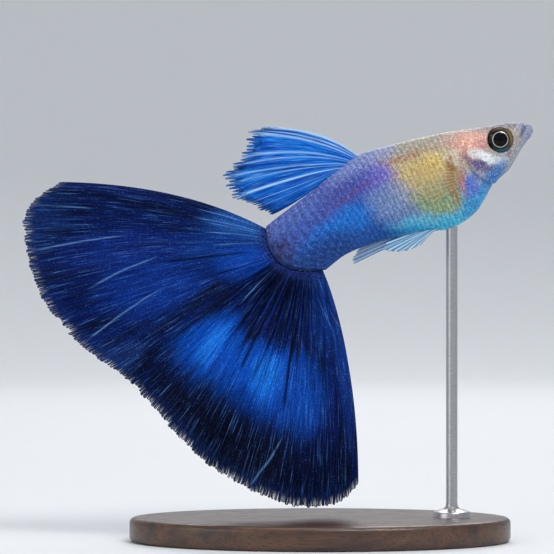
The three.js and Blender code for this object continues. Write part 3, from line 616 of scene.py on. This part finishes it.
for word, side in (("left", 1), ("right", -1)):
    eye, around, up = grid_sheet("eye_ball_" + word, 96, 48)
    turn = 2 * math.pi * around
    tilt = math.pi * up
    ball = np.stack(
        [
            EYE[0] + EYE_RADIUS * np.sin(tilt) * np.cos(turn),
            spine_y + side * (eye_half + EYE_PROUD - EYE_DEEP) - EYE_DEEP * np.cos(tilt),
            EYE[1] + EYE_RADIUS * np.sin(tilt) * np.sin(turn),
        ],
        1,
    )
    move_vertices(eye, ball)
    close_seams(eye)
    eye.data.materials.append(shiny.material)
    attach(eye, "root")
    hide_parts("eye_" + word)


# Tail fin.
# The tail opens from the rounded end of the stalk as a wide triangle. Its rays fork again and again to the
# margin, where the tips fray, and folds run along them.
def smooth_line(corners, steps=600):
    """A function that gives the point at a share of the length of a smooth line through corners."""
    knots = np.array(corners, float)
    knots = np.vstack([2 * knots[0] - knots[1], knots, 2 * knots[-1] - knots[-2]])
    drawn = []
    spans = len(knots) - 3
    for place in np.linspace(0, spans, steps):
        i = min(int(place), spans - 1)
        w = place - i
        p0, p1, p2, p3 = knots[i : i + 4]
        d0, d1, d2 = (np.linalg.norm(b - a) ** 0.5 for a, b in ((p0, p1), (p1, p2), (p2, p3)))
        leave = ((p1 - p0) / d0 - (p2 - p0) / (d0 + d1) + (p2 - p1) / d1) * d1
        enter = ((p2 - p1) / d1 - (p3 - p1) / (d1 + d2) + (p3 - p2) / d2) * d1
        square = 3 * (p2 - p1) - 2 * leave - enter
        cube = 2 * (p1 - p2) + leave + enter
        drawn.append(p1 + leave * w + square * w**2 + cube * w**3)
    drawn = np.array(drawn)
    lengths = np.concatenate([[0], np.cumsum(np.linalg.norm(np.diff(drawn, axis=0), axis=1))])
    shares = lengths / lengths[-1]
    return lambda u: np.stack([np.interp(u, shares, drawn[:, 0]), np.interp(u, shares, drawn[:, 1])], -1)


RAY_BEND = 0.45


def bent_ray(root, leaves, tip, v):
    """A ray's point at v in the side view. It leaves its root at an angle and bends to its tip."""
    length = np.linalg.norm(tip - root, axis=-1, keepdims=True)
    middle = root + RAY_BEND * length * np.stack([np.cos(leaves), np.sin(leaves)], -1)
    v = v[..., None]
    return root * (1 - v) ** 2 + 2 * middle * v * (1 - v) + tip * v * v


def fringe(u, rays, tip, notch):
    """How far each place on the margin falls short of the longest ray, in tufts of uneven ray ends."""
    tuft = np.floor(u * rays)
    chance = np.sin(12.9 * tuft) * 437.5 % 1
    inside = np.abs((u * rays) % 1 - 0.5) * 2
    tuft_of_tufts = np.sin(7.3 * np.floor(u * rays / 6)) * 91.7 % 1
    return tip * chance + notch * inside**3 + tip * tuft_of_tufts


def rays_relief(u, v, first, forks):
    """Ridges from 0 to 1. Each ray splits in two at every share of v in forks."""
    ridge = 0.5 + 0.5 * np.cos(2 * math.pi * (first * u - 0.5))
    for level, fork in enumerate(forks):
        finer = 0.5 + 0.5 * np.cos(2 * math.pi * (first * 2 ** (level + 1) * u - 0.5))
        blend = smooth((v - fork + 0.08) / 0.16)
        ridge = ridge * (1 - blend) + finer * blend
    return ridge


RIDGE_STEPS = 10


def fin_sheet(name, faces, wall_range, point, ridge):
    """A fin as a sheet whose vertices follow point(u, v), given a wall that is thicker at its ridges."""
    thin, thick = wall_range
    sheet, u, v = grid_sheet(name, *faces)
    move_vertices(sheet, point(u, v))
    group = sheet.vertex_groups.new(name="ray")
    heights = np.round(ridge(u, v) * RIDGE_STEPS)
    for share in range(RIDGE_STEPS + 1):
        chosen = np.flatnonzero(heights == share)
        if len(chosen):
            group.add(chosen.tolist(), share / RIDGE_STEPS, "REPLACE")
    wall = sheet.modifiers.new("wall", "SOLIDIFY")
    wall.thickness = thick * MM
    wall.offset = 0
    wall.vertex_group = "ray"
    wall.thickness_vertex_group = thin / thick
    bpy.context.view_layer.objects.active = sheet
    bpy.ops.object.modifier_apply(modifier="wall")
    sheet.vertex_groups.clear()
    sheet.data.shade_smooth()
    return sheet


TAIL_MARGIN = smooth_line(
    [
        (-27.1, 37.6),
        (-30.8, 35.0),
        (-30.9, 30.3),
        (-28.9, 25.0),
        (-25.2, 20.6),
        (-20.0, 16.6),
        (-15.3, 11.5),
        (-11.0, 7.4),
        (-6.3, 4.8),
        (-1.1, 3.3),
        (2.6, 4.2),
        (4.0, 5.8),
    ]
)
TAIL_RAYS = 18
TAIL_FORKS = (0.3, 0.55, 0.78)
TAIL_LEAVES = (152, 291)
TAIL_FOLDS = 5
TAIL_PLEATS = 21
TAIL_SWING = 1.2
TAIL_CUP = 1.6
TAIL_FOLD = 0.9
TAIL_PLEAT = 0.22
TAIL_FRINGE = (0.01, 0.008)
TAIL_FACES = (660, 68)
TAIL_WALL = (0.14, 0.24)
TAIL_ROOT_HEIGHT = 0.96
TAIL_ROOT_DEPTH = 10.0
STALK_END = 1.0


def tail_sway(u, v):
    """How far the tail stands to the fish's left, with its swing, cup, folds and the pleats near its root."""
    swing = -TAIL_SWING * v * (1 - v)
    cup = -TAIL_CUP * v * v * np.cos(math.pi * (u - 0.45))
    fold = TAIL_FOLD * v**1.5 * np.sin(2 * math.pi * (TAIL_FOLDS * u + 0.6))
    pleated = TAIL_PLEAT * smooth(v / 0.12) * smooth((0.6 - v) / 0.4) * smooth((u - 0.25) / 0.3)
    return swing + cup + fold + pleated * np.sin(2 * math.pi * TAIL_PLEATS * u)


def tail_point(u, v):
    at, back, _, up = spine_frame(STALK_END)
    rise = TAIL_ROOT_HEIGHT * (1 - 2 * u)
    tall = np.where(rise > 0, SECTIONS[-1, 1], SECTIONS[-1, 2])
    root = at + up * (rise * tall)[:, None] + back * (END_LEAN * rise + END_BULGE * (1 - rise**2))[:, None]
    leaves = np.radians(TAIL_LEAVES[0] + (TAIL_LEAVES[1] - TAIL_LEAVES[0]) * u)
    long = np.maximum(v, 0) * (1 - fringe(u, TAIL_RAYS * 8, *TAIL_FRINGE) * smooth((v - 0.8) / 0.2))
    side_view = bent_ray(root[:, [0, 2]], leaves, TAIL_MARGIN(u), long)
    place = np.stack([side_view[:, 0], root[:, 1] + tail_sway(u, long), side_view[:, 1]], 1)
    return place + back * np.minimum(v, 0)[:, None] * -TAIL_ROOT_DEPTH


ROOT_SHARE = 0.03
tail = fin_sheet(
    "tail_membrane",
    TAIL_FACES,
    TAIL_WALL,
    lambda u, v: tail_point(u, v * (1 + ROOT_SHARE) - ROOT_SHARE),
    lambda u, v: rays_relief(u, v, TAIL_RAYS, TAIL_FORKS),
)

# Sheen and shade on the membrane: middle u and v, reach both ways, colour and strength.
TAIL_SHEENS = [
    ((0.07, 0.1), (0.1, 0.2), (34, 88, 170), 0.9),
    ((0.2, 0.2), (0.08, 0.24), (8, 54, 134), 0.8),
    ((0.32, 0.12), (0.12, 0.18), (10, 66, 168), 0.9),
    ((0.3, 0.56), (0.09, 0.24), (10, 50, 138), 0.9),
    ((0.19, 0.62), (0.06, 0.26), (9, 38, 116), 0.7),
    ((0.545, 0.6), (0.085, 0.2), (6, 82, 196), 1.0),
    ((0.548, 0.58), (0.03, 0.12), (26, 116, 226), 0.8),
    ((0.65, 0.6), (0.08, 0.16), (6, 74, 180), 1.0),
    ((0.745, 0.56), (0.1, 0.19), (5, 78, 192), 1.0),
    ((0.74, 0.54), (0.05, 0.1), (24, 116, 226), 0.8),
    ((0.85, 0.57), (0.07, 0.18), (12, 70, 170), 0.95),
    ((0.93, 0.2), (0.08, 0.18), (14, 54, 132), 0.9),
    ((0.985, 0.35), (0.03, 0.4), (18, 56, 138), 0.8),
    ((0.7, 0.93), (0.26, 0.26), (0, 3, 24), 1.0),
    ((0.68, 0.16), (0.13, 0.17), (5, 17, 58), 0.8),
    ((0.74, 0.32), (0.1, 0.1), (4, 14, 60), 0.8),
    ((0.43, 0.95), (0.035, 0.14), (20, 44, 98), 0.8),
    ((0.1, 0.95), (0.06, 0.14), (18, 46, 104), 0.8),
]
# Single rays that catch the light, each from one u and v to another, with its strength.
TAIL_BRIGHT_RAYS = [
    ((0.15, 0.62), (0.165, 1.0), 0.6),
    ((0.215, 0.5), (0.262, 0.82), 0.6),
    ((0.315, 0.55), (0.37, 1.0), 0.6),
    ((0.82, 0.74), (0.775, 1.0), 0.55),
    ((0.08, 0.75), (0.075, 1.0), 0.5),
    ((0.02, 0.0), (0.035, 0.36), 0.8),
    ((0.055, 0.0), (0.075, 0.36), 0.85),
    ((0.075, 0.0), (0.085, 0.28), 0.6),
    ((0.11, 0.0), (0.13, 0.3), 0.8),
    ((0.17, 0.0), (0.19, 0.26), 0.5),
    ((0.34, 0.0), (0.33, 0.22), 0.5),
    ((0.5, 0.02), (0.515, 0.34), 0.6),
    ((0.535, 0.02), (0.55, 0.3), 0.5),
    ((0.9, 0.05), (0.97, 0.34), 0.4),
    ((0.94, 0.05), (1.0, 0.34), 0.4),
]
# Painted shade in the deep creases between bundles of rays.
TAIL_CREASE_SHADES = [
    ((0.25, 0.1), (0.235, 0.52)),
    ((0.45, 0.0), (0.46, 0.75)),
    ((0.655, 0.36), (0.66, 0.58)),
    ((0.8, 0.3), (0.81, 0.66)),
    ((0.36, 0.0), (0.33, 0.35)),
    ((0.555, 0.0), (0.57, 0.25)),
    ((0.6, 0.0), (0.61, 0.3)),
    ((0.65, 0.0), (0.66, 0.25)),
    ((0.7, 0.0), (0.71, 0.3)),
    ((0.75, 0.0), (0.77, 0.3)),
]


def line_mask(u, v, start, end, width):
    """1 on a line from start to end, given as u and v, fading to both sides and both ends."""
    along = (v - start[1]) / (end[1] - start[1])
    middle = along * (end[0] - start[0]) + start[0]
    aside = abs(u - middle) / width
    ends = along.step(-0.05, 0.2) * (1 - along.step(0.8, 1.05))
    return (1 - aside.step(0.0, 1.0)) * ends


def streaks(finish, u, v, across, along):
    """Hair-like streaks that run from root to margin."""
    return finish.noise(finish.spread(u * across, v * along), 1.0, 3.0, 0.6)


TAIL_NAVY = rgb(1, 9, 42)
TAIL_BLUE = rgb(4, 28, 94)
TAIL_SHADE = rgb(1, 3, 26)
ROOT_PLEAT_SHADE = rgb(3, 12, 46)
PLEAT_CREST_LIGHT = rgb(34, 66, 168)
CREASE_SHADE = rgb(1, 3, 18)
STREAK_LIGHT = rgb(96, 156, 244)
SPECKLE_LIGHT = rgb(110, 160, 250)
RAY_LIGHT = rgb(104, 152, 214)
MARGIN_BLUE = rgb(16, 44, 104)
STALK_NAVY = rgb(6, 22, 66)
STALK_LILAC = rgb(46, 62, 140)

silk = Finish("blue_tail", roughness=0.45, specular_ior_level=0.05)
u, v, _ = silk.uv()
fine = streaks(silk, u, v, 420.0, 7.0)
middling = streaks(silk, u, v, 120.0, 3.0)
broad = streaks(silk, u, v, 34.0, 1.3)
speckle = silk.noise(silk.place(), 6.0, 2.0, 0.7)
drift = (broad - 0.5) * 0.16 + (middling - 0.5) * 0.12
colour = silk.mix(TAIL_NAVY, TAIL_BLUE, broad.step(0.35, 0.65))
for (at_u, at_v), (reach_u, reach_v), tint, strength in TAIL_SHEENS:
    off_u = (u - at_u) / reach_u
    off_v = (v - at_v + drift) / reach_v
    away = off_u * off_u + off_v * off_v + (middling - 0.5) * 0.8
    colour = silk.mix(colour, rgb(*tint), (1 - away.step(0.0, 1.7)) * strength)
pleat = (u * (2 * math.pi * TAIL_PLEATS) + (broad - 0.5) * 6.0).sin() * 0.5 + 0.5
near_root = (1 - v.step(0.16, 0.42)) * u.step(0.4, 0.5) * (1 - u.step(0.86, 0.96))
streak_light = fine.step(0.54, 0.74) * (middling.step(0.4, 0.62) * 0.7 + 0.3) * 0.4
# Painted shade over the pleated membrane near the root, and painted highlights along the pleat crests.
colour = silk.mix(colour, ROOT_PLEAT_SHADE, near_root * 0.8)
colour = silk.mix(colour, PLEAT_CREST_LIGHT, pleat.step(0.55, 0.98) * near_root * v.step(0.0, 0.1) * 0.75)
colour = silk.mix(colour, TAIL_SHADE, (1 - fine.step(0.34, 0.56)) * 0.6)
colour = silk.mix(colour, TAIL_SHADE, (1 - middling.step(0.32, 0.5)) * 0.55)
colour = silk.mix(colour, STREAK_LIGHT, streak_light, "SCREEN")
# Painted sparkle: where the speckle noise is high, the colour is brightened and a pale blue highlight laid on.
colour = silk.mix(colour, colour, speckle.step(0.5, 0.66) * 0.9, "SCREEN")
colour = silk.mix(colour, SPECKLE_LIGHT, speckle.step(0.62, 0.74) * 0.2, "SCREEN")
# Painted shade along each crease.
for start, end in TAIL_CREASE_SHADES:
    colour = silk.mix(colour, CREASE_SHADE, line_mask(u, v, start, end, 0.008) * 0.85)
for start, end, strength in TAIL_BRIGHT_RAYS:
    glow = line_mask(u + (broad - 0.5) * 0.01, v, start, end, 0.0035) * fine.step(0.32, 0.56)
    colour = silk.mix(colour, RAY_LIGHT, glow * strength)
colour = silk.mix(colour, MARGIN_BLUE, v.step(0.9, 1.0) * (0.1 + fine * 0.5))
stalk_scales = (1 - (v + (speckle - 0.5) * 0.1).step(0.03, 0.09)) * 0.9
colour = silk.mix(colour, silk.mix(STALK_NAVY, STALK_LILAC, speckle.step(0.4, 0.6)), stalk_scales)
silk.feed("Base Color", colour)
silk.feed("Alpha", 1 - v.step(0.955, 1.0) * (1 - fine.step(0.4, 0.56)))
silk.bump(fine * 0.6 + middling * 0.4, 0.5, 0.06)
tail.data.materials.append(silk.material)
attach(tail, "root")
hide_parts("tail_fin")


# Dorsal fin.
# The long dorsal fin of a fancy male sweeps back over the stalk, with bright rays in a blue membrane. It grows
# out of the ridge of the back, and its rays end in a ragged margin.
DORSAL_BASE = (0.655, 0.79)
DORSAL_MARGIN = smooth_line(
    [
        (-5.8, 43.5),
        (-8.4, 42.7),
        (-8.9, 41.0),
        (-9.3, 39.5),
        (-10.6, 38.6),
        (-10.5, 37.1),
        (-10.0, 36.0),
        (-7.8, 35.2),
        (-5.4, 34.1),
    ]
)
DORSAL_RAYS = 8
DORSAL_FORKS = (0.35, 0.6, 0.8)
DORSAL_LEAVES = (140, 223)
DORSAL_CROWDING = 0.13
DORSAL_LEAN = 1.3
DORSAL_WAVE = 0.3
DORSAL_FRINGE = (0.06, 0.09)
DORSAL_FACES = (360, 72)
DORSAL_WALL = (0.12, 0.26)
DORSAL_ROOT_SHARE = 0.06
DORSAL_ROOT_DEPTH = 10.0


def dorsal_point(u, v):
    u = u + DORSAL_CROWDING * np.sin(math.pi * u) * np.maximum(v, 0)
    t = DORSAL_BASE[0] + (DORSAL_BASE[1] - DORSAL_BASE[0]) * u
    root = body_point(t, np.zeros_like(t))
    _, back, _, up = spine_frame(t)
    leaves = np.radians(DORSAL_LEAVES[0] + (DORSAL_LEAVES[1] - DORSAL_LEAVES[0]) * u)
    long = np.maximum(v, 0) * (1 - fringe(u, DORSAL_RAYS * 5, *DORSAL_FRINGE) * smooth((v - 0.75) / 0.25))
    side_view = bent_ray(root[:, [0, 2]], leaves, DORSAL_MARGIN(u), long)
    lean = DORSAL_LEAN * long**1.3 * (0.35 + 0.65 * u) + DORSAL_WAVE * long**2 * np.sin(4 * math.pi * u)
    place = np.stack([side_view[:, 0], root[:, 1] + lean, side_view[:, 1]], 1)
    return place + (up + 0.4 * back) * (np.minimum(v, 0) * DORSAL_ROOT_DEPTH)[:, None]


dorsal = fin_sheet(
    "dorsal_membrane",
    DORSAL_FACES,
    DORSAL_WALL,
    lambda u, v: dorsal_point(u, v * (1 + DORSAL_ROOT_SHARE) - DORSAL_ROOT_SHARE),
    lambda u, v: rays_relief(u, v, DORSAL_RAYS, DORSAL_FORKS),
)
# Its brightest rays: place from front to rear, width and strength.
DORSAL_BRIGHT_RAYS = [
    (0.01, 0.03, 1.0),
    (0.07, 0.016, 0.7),
    (0.115, 0.02, 0.8),
    (0.25, 0.014, 0.6),
    (0.3, 0.012, 0.5),
    (0.41, 0.016, 0.55),
    (0.46, 0.012, 0.5),
    (0.57, 0.02, 0.95),
    (0.7, 0.012, 0.45),
    (0.8, 0.012, 0.4),
]
DORSAL_DEEP = rgb(2, 74, 180)
DORSAL_BLUE = rgb(10, 122, 224)
DORSAL_MARGIN_BLUE = rgb(20, 78, 156)
DORSAL_SHADE = rgb(1, 18, 84)
DORSAL_STREAK = rgb(140, 206, 255)
DORSAL_RAY = rgb(178, 216, 246)

satin = Finish("blue_dorsal", roughness=0.4, specular_ior_level=0.08)
u, v, _ = satin.uv()
fine = streaks(satin, u, v, 150.0, 5.0)
broad = streaks(satin, u, v, 22.0, 1.6)
colour = satin.mix(DORSAL_DEEP, DORSAL_BLUE, broad.step(0.38, 0.6))
colour = satin.mix(colour, DORSAL_MARGIN_BLUE, v.step(0.75, 1.0) * 0.6)
colour = satin.mix(colour, DORSAL_SHADE, (1 - fine.step(0.34, 0.55)) * 0.6)
colour = satin.mix(colour, DORSAL_STREAK, fine.step(0.52, 0.72) * 0.45)
for at_u, width, strength in DORSAL_BRIGHT_RAYS:
    glow = (1 - (abs(u - at_u + (broad - 0.5) * 0.02) / width).step(0.0, 1.1)) * strength
    colour = satin.mix(colour, DORSAL_RAY, glow * (0.4 + fine) * (1 - v.step(0.85, 1.0) * 0.5))
satin.feed("Base Color", colour)
satin.feed("Alpha", 1 - v.step(0.95, 1.0) * (1 - fine.step(0.42, 0.52)))
satin.bump(fine, 0.5, 0.05)
dorsal.data.materials.append(satin.material)
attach(dorsal, "root")
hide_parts("dorsal_fin")


# Pectoral, pelvic and anal fins.
# These are thin membranes between fine pale rays, nearly clear in the pectoral fins and blue in the others. The
# male's anal fin is a slender rod, the gonopodium. Each fans out from its own root on the skin.
SMALL_WALL = (0.06, 0.18)
SMALL_FRINGE = (0.04, 0.05)
SMALL_ROOT_SHARE = 0.15
SMALL_ROOT_DEPTH = 6.0


def unit(vector):
    vector = np.array(vector, float)
    return vector / np.linalg.norm(vector)


def small_fin(name, node, root, along, across, length, base, spread, rays, bow, peak, fall, forks, finish):
    """A fin that fans out from one place on the skin, replacing the CAD fin of the same size.

    Its middle points along, and its width lies across. base is the width of its root, and spread holds the
    angles of its first and last ray. It bends by bow. Its longest ray is at peak, and fall shortens the rest.
    """
    direction = unit(along)
    normal = unit(np.cross(direction, across))
    side = unit(np.cross(normal, direction))

    def point(u, v):
        v = v * (1 + SMALL_ROOT_SHARE) - SMALL_ROOT_SHARE
        turn = np.radians(spread[0] + (spread[1] - spread[0]) * u)
        reach = length * (1 - fall * np.abs(u - peak) ** 1.6)
        out = np.maximum(v, 0) * (1 - fringe(u, rays * 4, *SMALL_FRINGE) * smooth((v - 0.75) / 0.25))
        ray = direction * np.cos(turn)[:, None] + side * np.sin(turn)[:, None]
        sunk = direction * (np.minimum(v, 0) * SMALL_ROOT_DEPTH)[:, None]
        start = root + side * (base * (u - 0.5))[:, None] + sunk
        return start + ray * (reach * out)[:, None] + normal * (bow * out**2)[:, None]

    fin = fin_sheet(name, (rays * 16, 40), SMALL_WALL, point, lambda u, v: rays_relief(u, v, rays, forks))
    fin.data.materials.append(finish.material)
    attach(fin, "root")
    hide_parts(node)


def clear_finish(name, rays, membrane, ray_colour, clear):
    """A finish of see-through membrane between solid rays."""
    glassy = Finish(name, roughness=0.25, specular_ior_level=0.3)
    u, _, _ = glassy.uv()
    line = (u * (2 * math.pi * rays) - math.pi / 2).sin() * 0.5 + 0.5
    fine = (u * (2 * math.pi * rays * 4)).sin() * 0.5 + 0.5
    solid = line.step(0.5, 0.98).at_least(fine.step(0.6, 0.95) * 0.6)
    glassy.feed("Base Color", glassy.mix(membrane, ray_colour, solid))
    glassy.feed("Alpha", clear[0] + (clear[1] - clear[0]) * solid)
    glassy.bump(solid, 0.5, 0.03)
    return glassy


PECTORAL_ROOT = (0.345, math.radians(111))
PELVIC_ROOT = (0.535, math.radians(164))
GONOPODIUM_ROOT = (0.68, math.pi)
pectoral_finish = clear_finish("clear_pectoral", 7, rgb(196, 188, 150), rgb(214, 186, 120), (0.05, 0.34))
pelvic_finish = clear_finish("pale_pelvic", 7, rgb(28, 112, 168), rgb(186, 220, 240), (0.5, 0.95))
gonopodium_finish = clear_finish("pale_gonopodium", 4, rgb(26, 76, 140), rgb(150, 186, 220), (0.55, 0.95))
for word, side in (("left", 1), ("right", -1)):
    small_fin(
        "pectoral_membrane_" + word,
        "pectoral_fin_" + word,
        body_point(np.array(PECTORAL_ROOT[0]), PECTORAL_ROOT[1] * side),
        along=(-1, side * 0.42, -0.22),
        across=(0.12, side * 0.25, 1),
        length=5.4,
        base=1.5,
        spread=(-24, 22),
        rays=7,
        bow=side * -0.25,
        peak=0.6,
        fall=0.9,
        forks=(0.4, 0.75),
        finish=pectoral_finish,
    )
    small_fin(
        "pelvic_membrane_" + word,
        "pelvic_fin_" + word,
        body_point(np.array(PELVIC_ROOT[0]), PELVIC_ROOT[1] * side),
        along=(-1, side * 0.3, -0.42),
        across=(-0.3, side * -0.75, 0.6),
        length=5.7,
        base=0.7,
        spread=(-25, 9),
        rays=5,
        bow=0.2,
        peak=0.75,
        fall=1.0,
        forks=(0.55,),
        finish=pelvic_finish,
    )
small_fin(
    "gonopodium_blade",
    "gonopodium",
    body_point(np.array(GONOPODIUM_ROOT[0]), GONOPODIUM_ROOT[1]),
    along=(-1, 0, -0.4),
    across=(-0.4, 0, 1),
    length=5.3,
    base=1.1,
    spread=(-4, 1),
    rays=3,
    bow=0.0,
    peak=0.2,
    fall=0.35,
    forks=(0.7,),
    finish=gonopodium_finish,
)


# Stand.
# A waxed walnut base with a softened edge, and a brushed steel rod. The rod's flared foot is let into the base,
# and its upper end enters the belly.
BASE_ROUNDING = 0.55
BASE_LOW, BASE_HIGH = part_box("stand_base")
ROD_LOW, ROD_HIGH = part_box("stand_rod")
base_size = BASE_HIGH - BASE_LOW
bpy.ops.object.select_all(action="DESELECT")
bpy.ops.mesh.primitive_cylinder_add(vertices=192, radius=0.5, depth=1, location=(0, 0, 0))
base = bpy.context.active_object
base.name = "walnut_base"
base.scale = base_size
base.location = (BASE_LOW + BASE_HIGH) / 2
bpy.ops.object.transform_apply(location=True, rotation=True, scale=True)
rounding = base.modifiers.new("rounding", "BEVEL")
rounding.width = BASE_ROUNDING * MM
rounding.segments = 5
rounding.limit_method = "ANGLE"
rounding.angle_limit = math.radians(50)
bpy.ops.object.modifier_apply(modifier="rounding")
bpy.ops.object.shade_smooth_by_angle(angle=math.radians(30))
WOOD_DARK = rgb(52, 34, 26)
WOOD_LIGHT = rgb(96, 64, 44)
WOOD_PORE = rgb(30, 19, 15)
walnut = Finish("waxed_walnut", roughness=0.38, coat_weight=0.25, coat_roughness=0.2)
place = walnut.place()
figure = walnut.noise(walnut.stretch(place, 0.05, 0.6, 0.6), 1.0, 5.0, 0.6)
pores = walnut.noise(walnut.stretch(place, 0.4, 9.0, 9.0), 1.0)
in_pore = 1 - pores.step(0.34, 0.5)
wood = walnut.mix(WOOD_DARK, WOOD_LIGHT, figure.step(0.3, 0.7))
walnut.feed("Base Color", walnut.mix(wood, WOOD_PORE, in_pore * 0.6))
walnut.feed("Roughness", 0.34 + in_pore * 0.25)
walnut.bump(pores, 0.2, 0.03)
base.data.materials.append(walnut.material)
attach(base, "root")
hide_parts("stand_base")

ROD_X = (ROD_LOW.x + ROD_HIGH.x) / 2 / MM
ROD_Y = (ROD_LOW.y + ROD_HIGH.y) / 2 / MM
ROD_RADIUS = 0.6
FOOT_RADIUS = (ROD_HIGH.x - ROD_LOW.x) / 2 / MM
BASE_TOP = BASE_HIGH.z / MM
profile = np.array(
    [
        (0.0, BASE_TOP - 0.4),
        (FOOT_RADIUS, BASE_TOP - 0.4),
        (FOOT_RADIUS, BASE_TOP + 0.45),
        (FOOT_RADIUS * 0.96, BASE_TOP + 0.58),
        (FOOT_RADIUS * 0.8, BASE_TOP + 0.68),
        (ROD_RADIUS * 1.5, BASE_TOP + 0.85),
        (ROD_RADIUS * 1.1, BASE_TOP + 1.1),
        (ROD_RADIUS, BASE_TOP + 1.5),
        (ROD_RADIUS, ROD_HIGH.z / MM - 0.3),
        (ROD_RADIUS * 0.6, ROD_HIGH.z / MM),
        (0.0, ROD_HIGH.z / MM),
    ]
)
rod, around, up = grid_sheet("steel_rod", 48, len(profile) - 1)
row = np.round(up * (len(profile) - 1)).astype(int)
turn = 2 * math.pi * around
rod_radius = profile[row, 0]
move_vertices(
    rod,
    np.stack([ROD_X + rod_radius * np.cos(turn), ROD_Y + rod_radius * np.sin(turn), profile[row, 1]], 1),
)
close_seams(rod)
bpy.ops.object.shade_smooth_by_angle(angle=math.radians(35))
STEEL_GREY = rgb(150, 150, 153)
STEEL_PALE = rgb(196, 196, 198)
steel = Finish("brushed_rod", metallic=1.0, roughness=0.3)
brushed = steel.noise(steel.stretch(steel.place(), 1.5, 1.5, 14.0), 1.0, 3.0)
steel.feed("Base Color", steel.mix(STEEL_GREY, STEEL_PALE, brushed))
steel.feed("Roughness", 0.22 + brushed * 0.2)
steel.bump(brushed, 0.15, 0.01)
rod.data.materials.append(steel.material)
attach(rod, "root")
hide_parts("stand_rod")
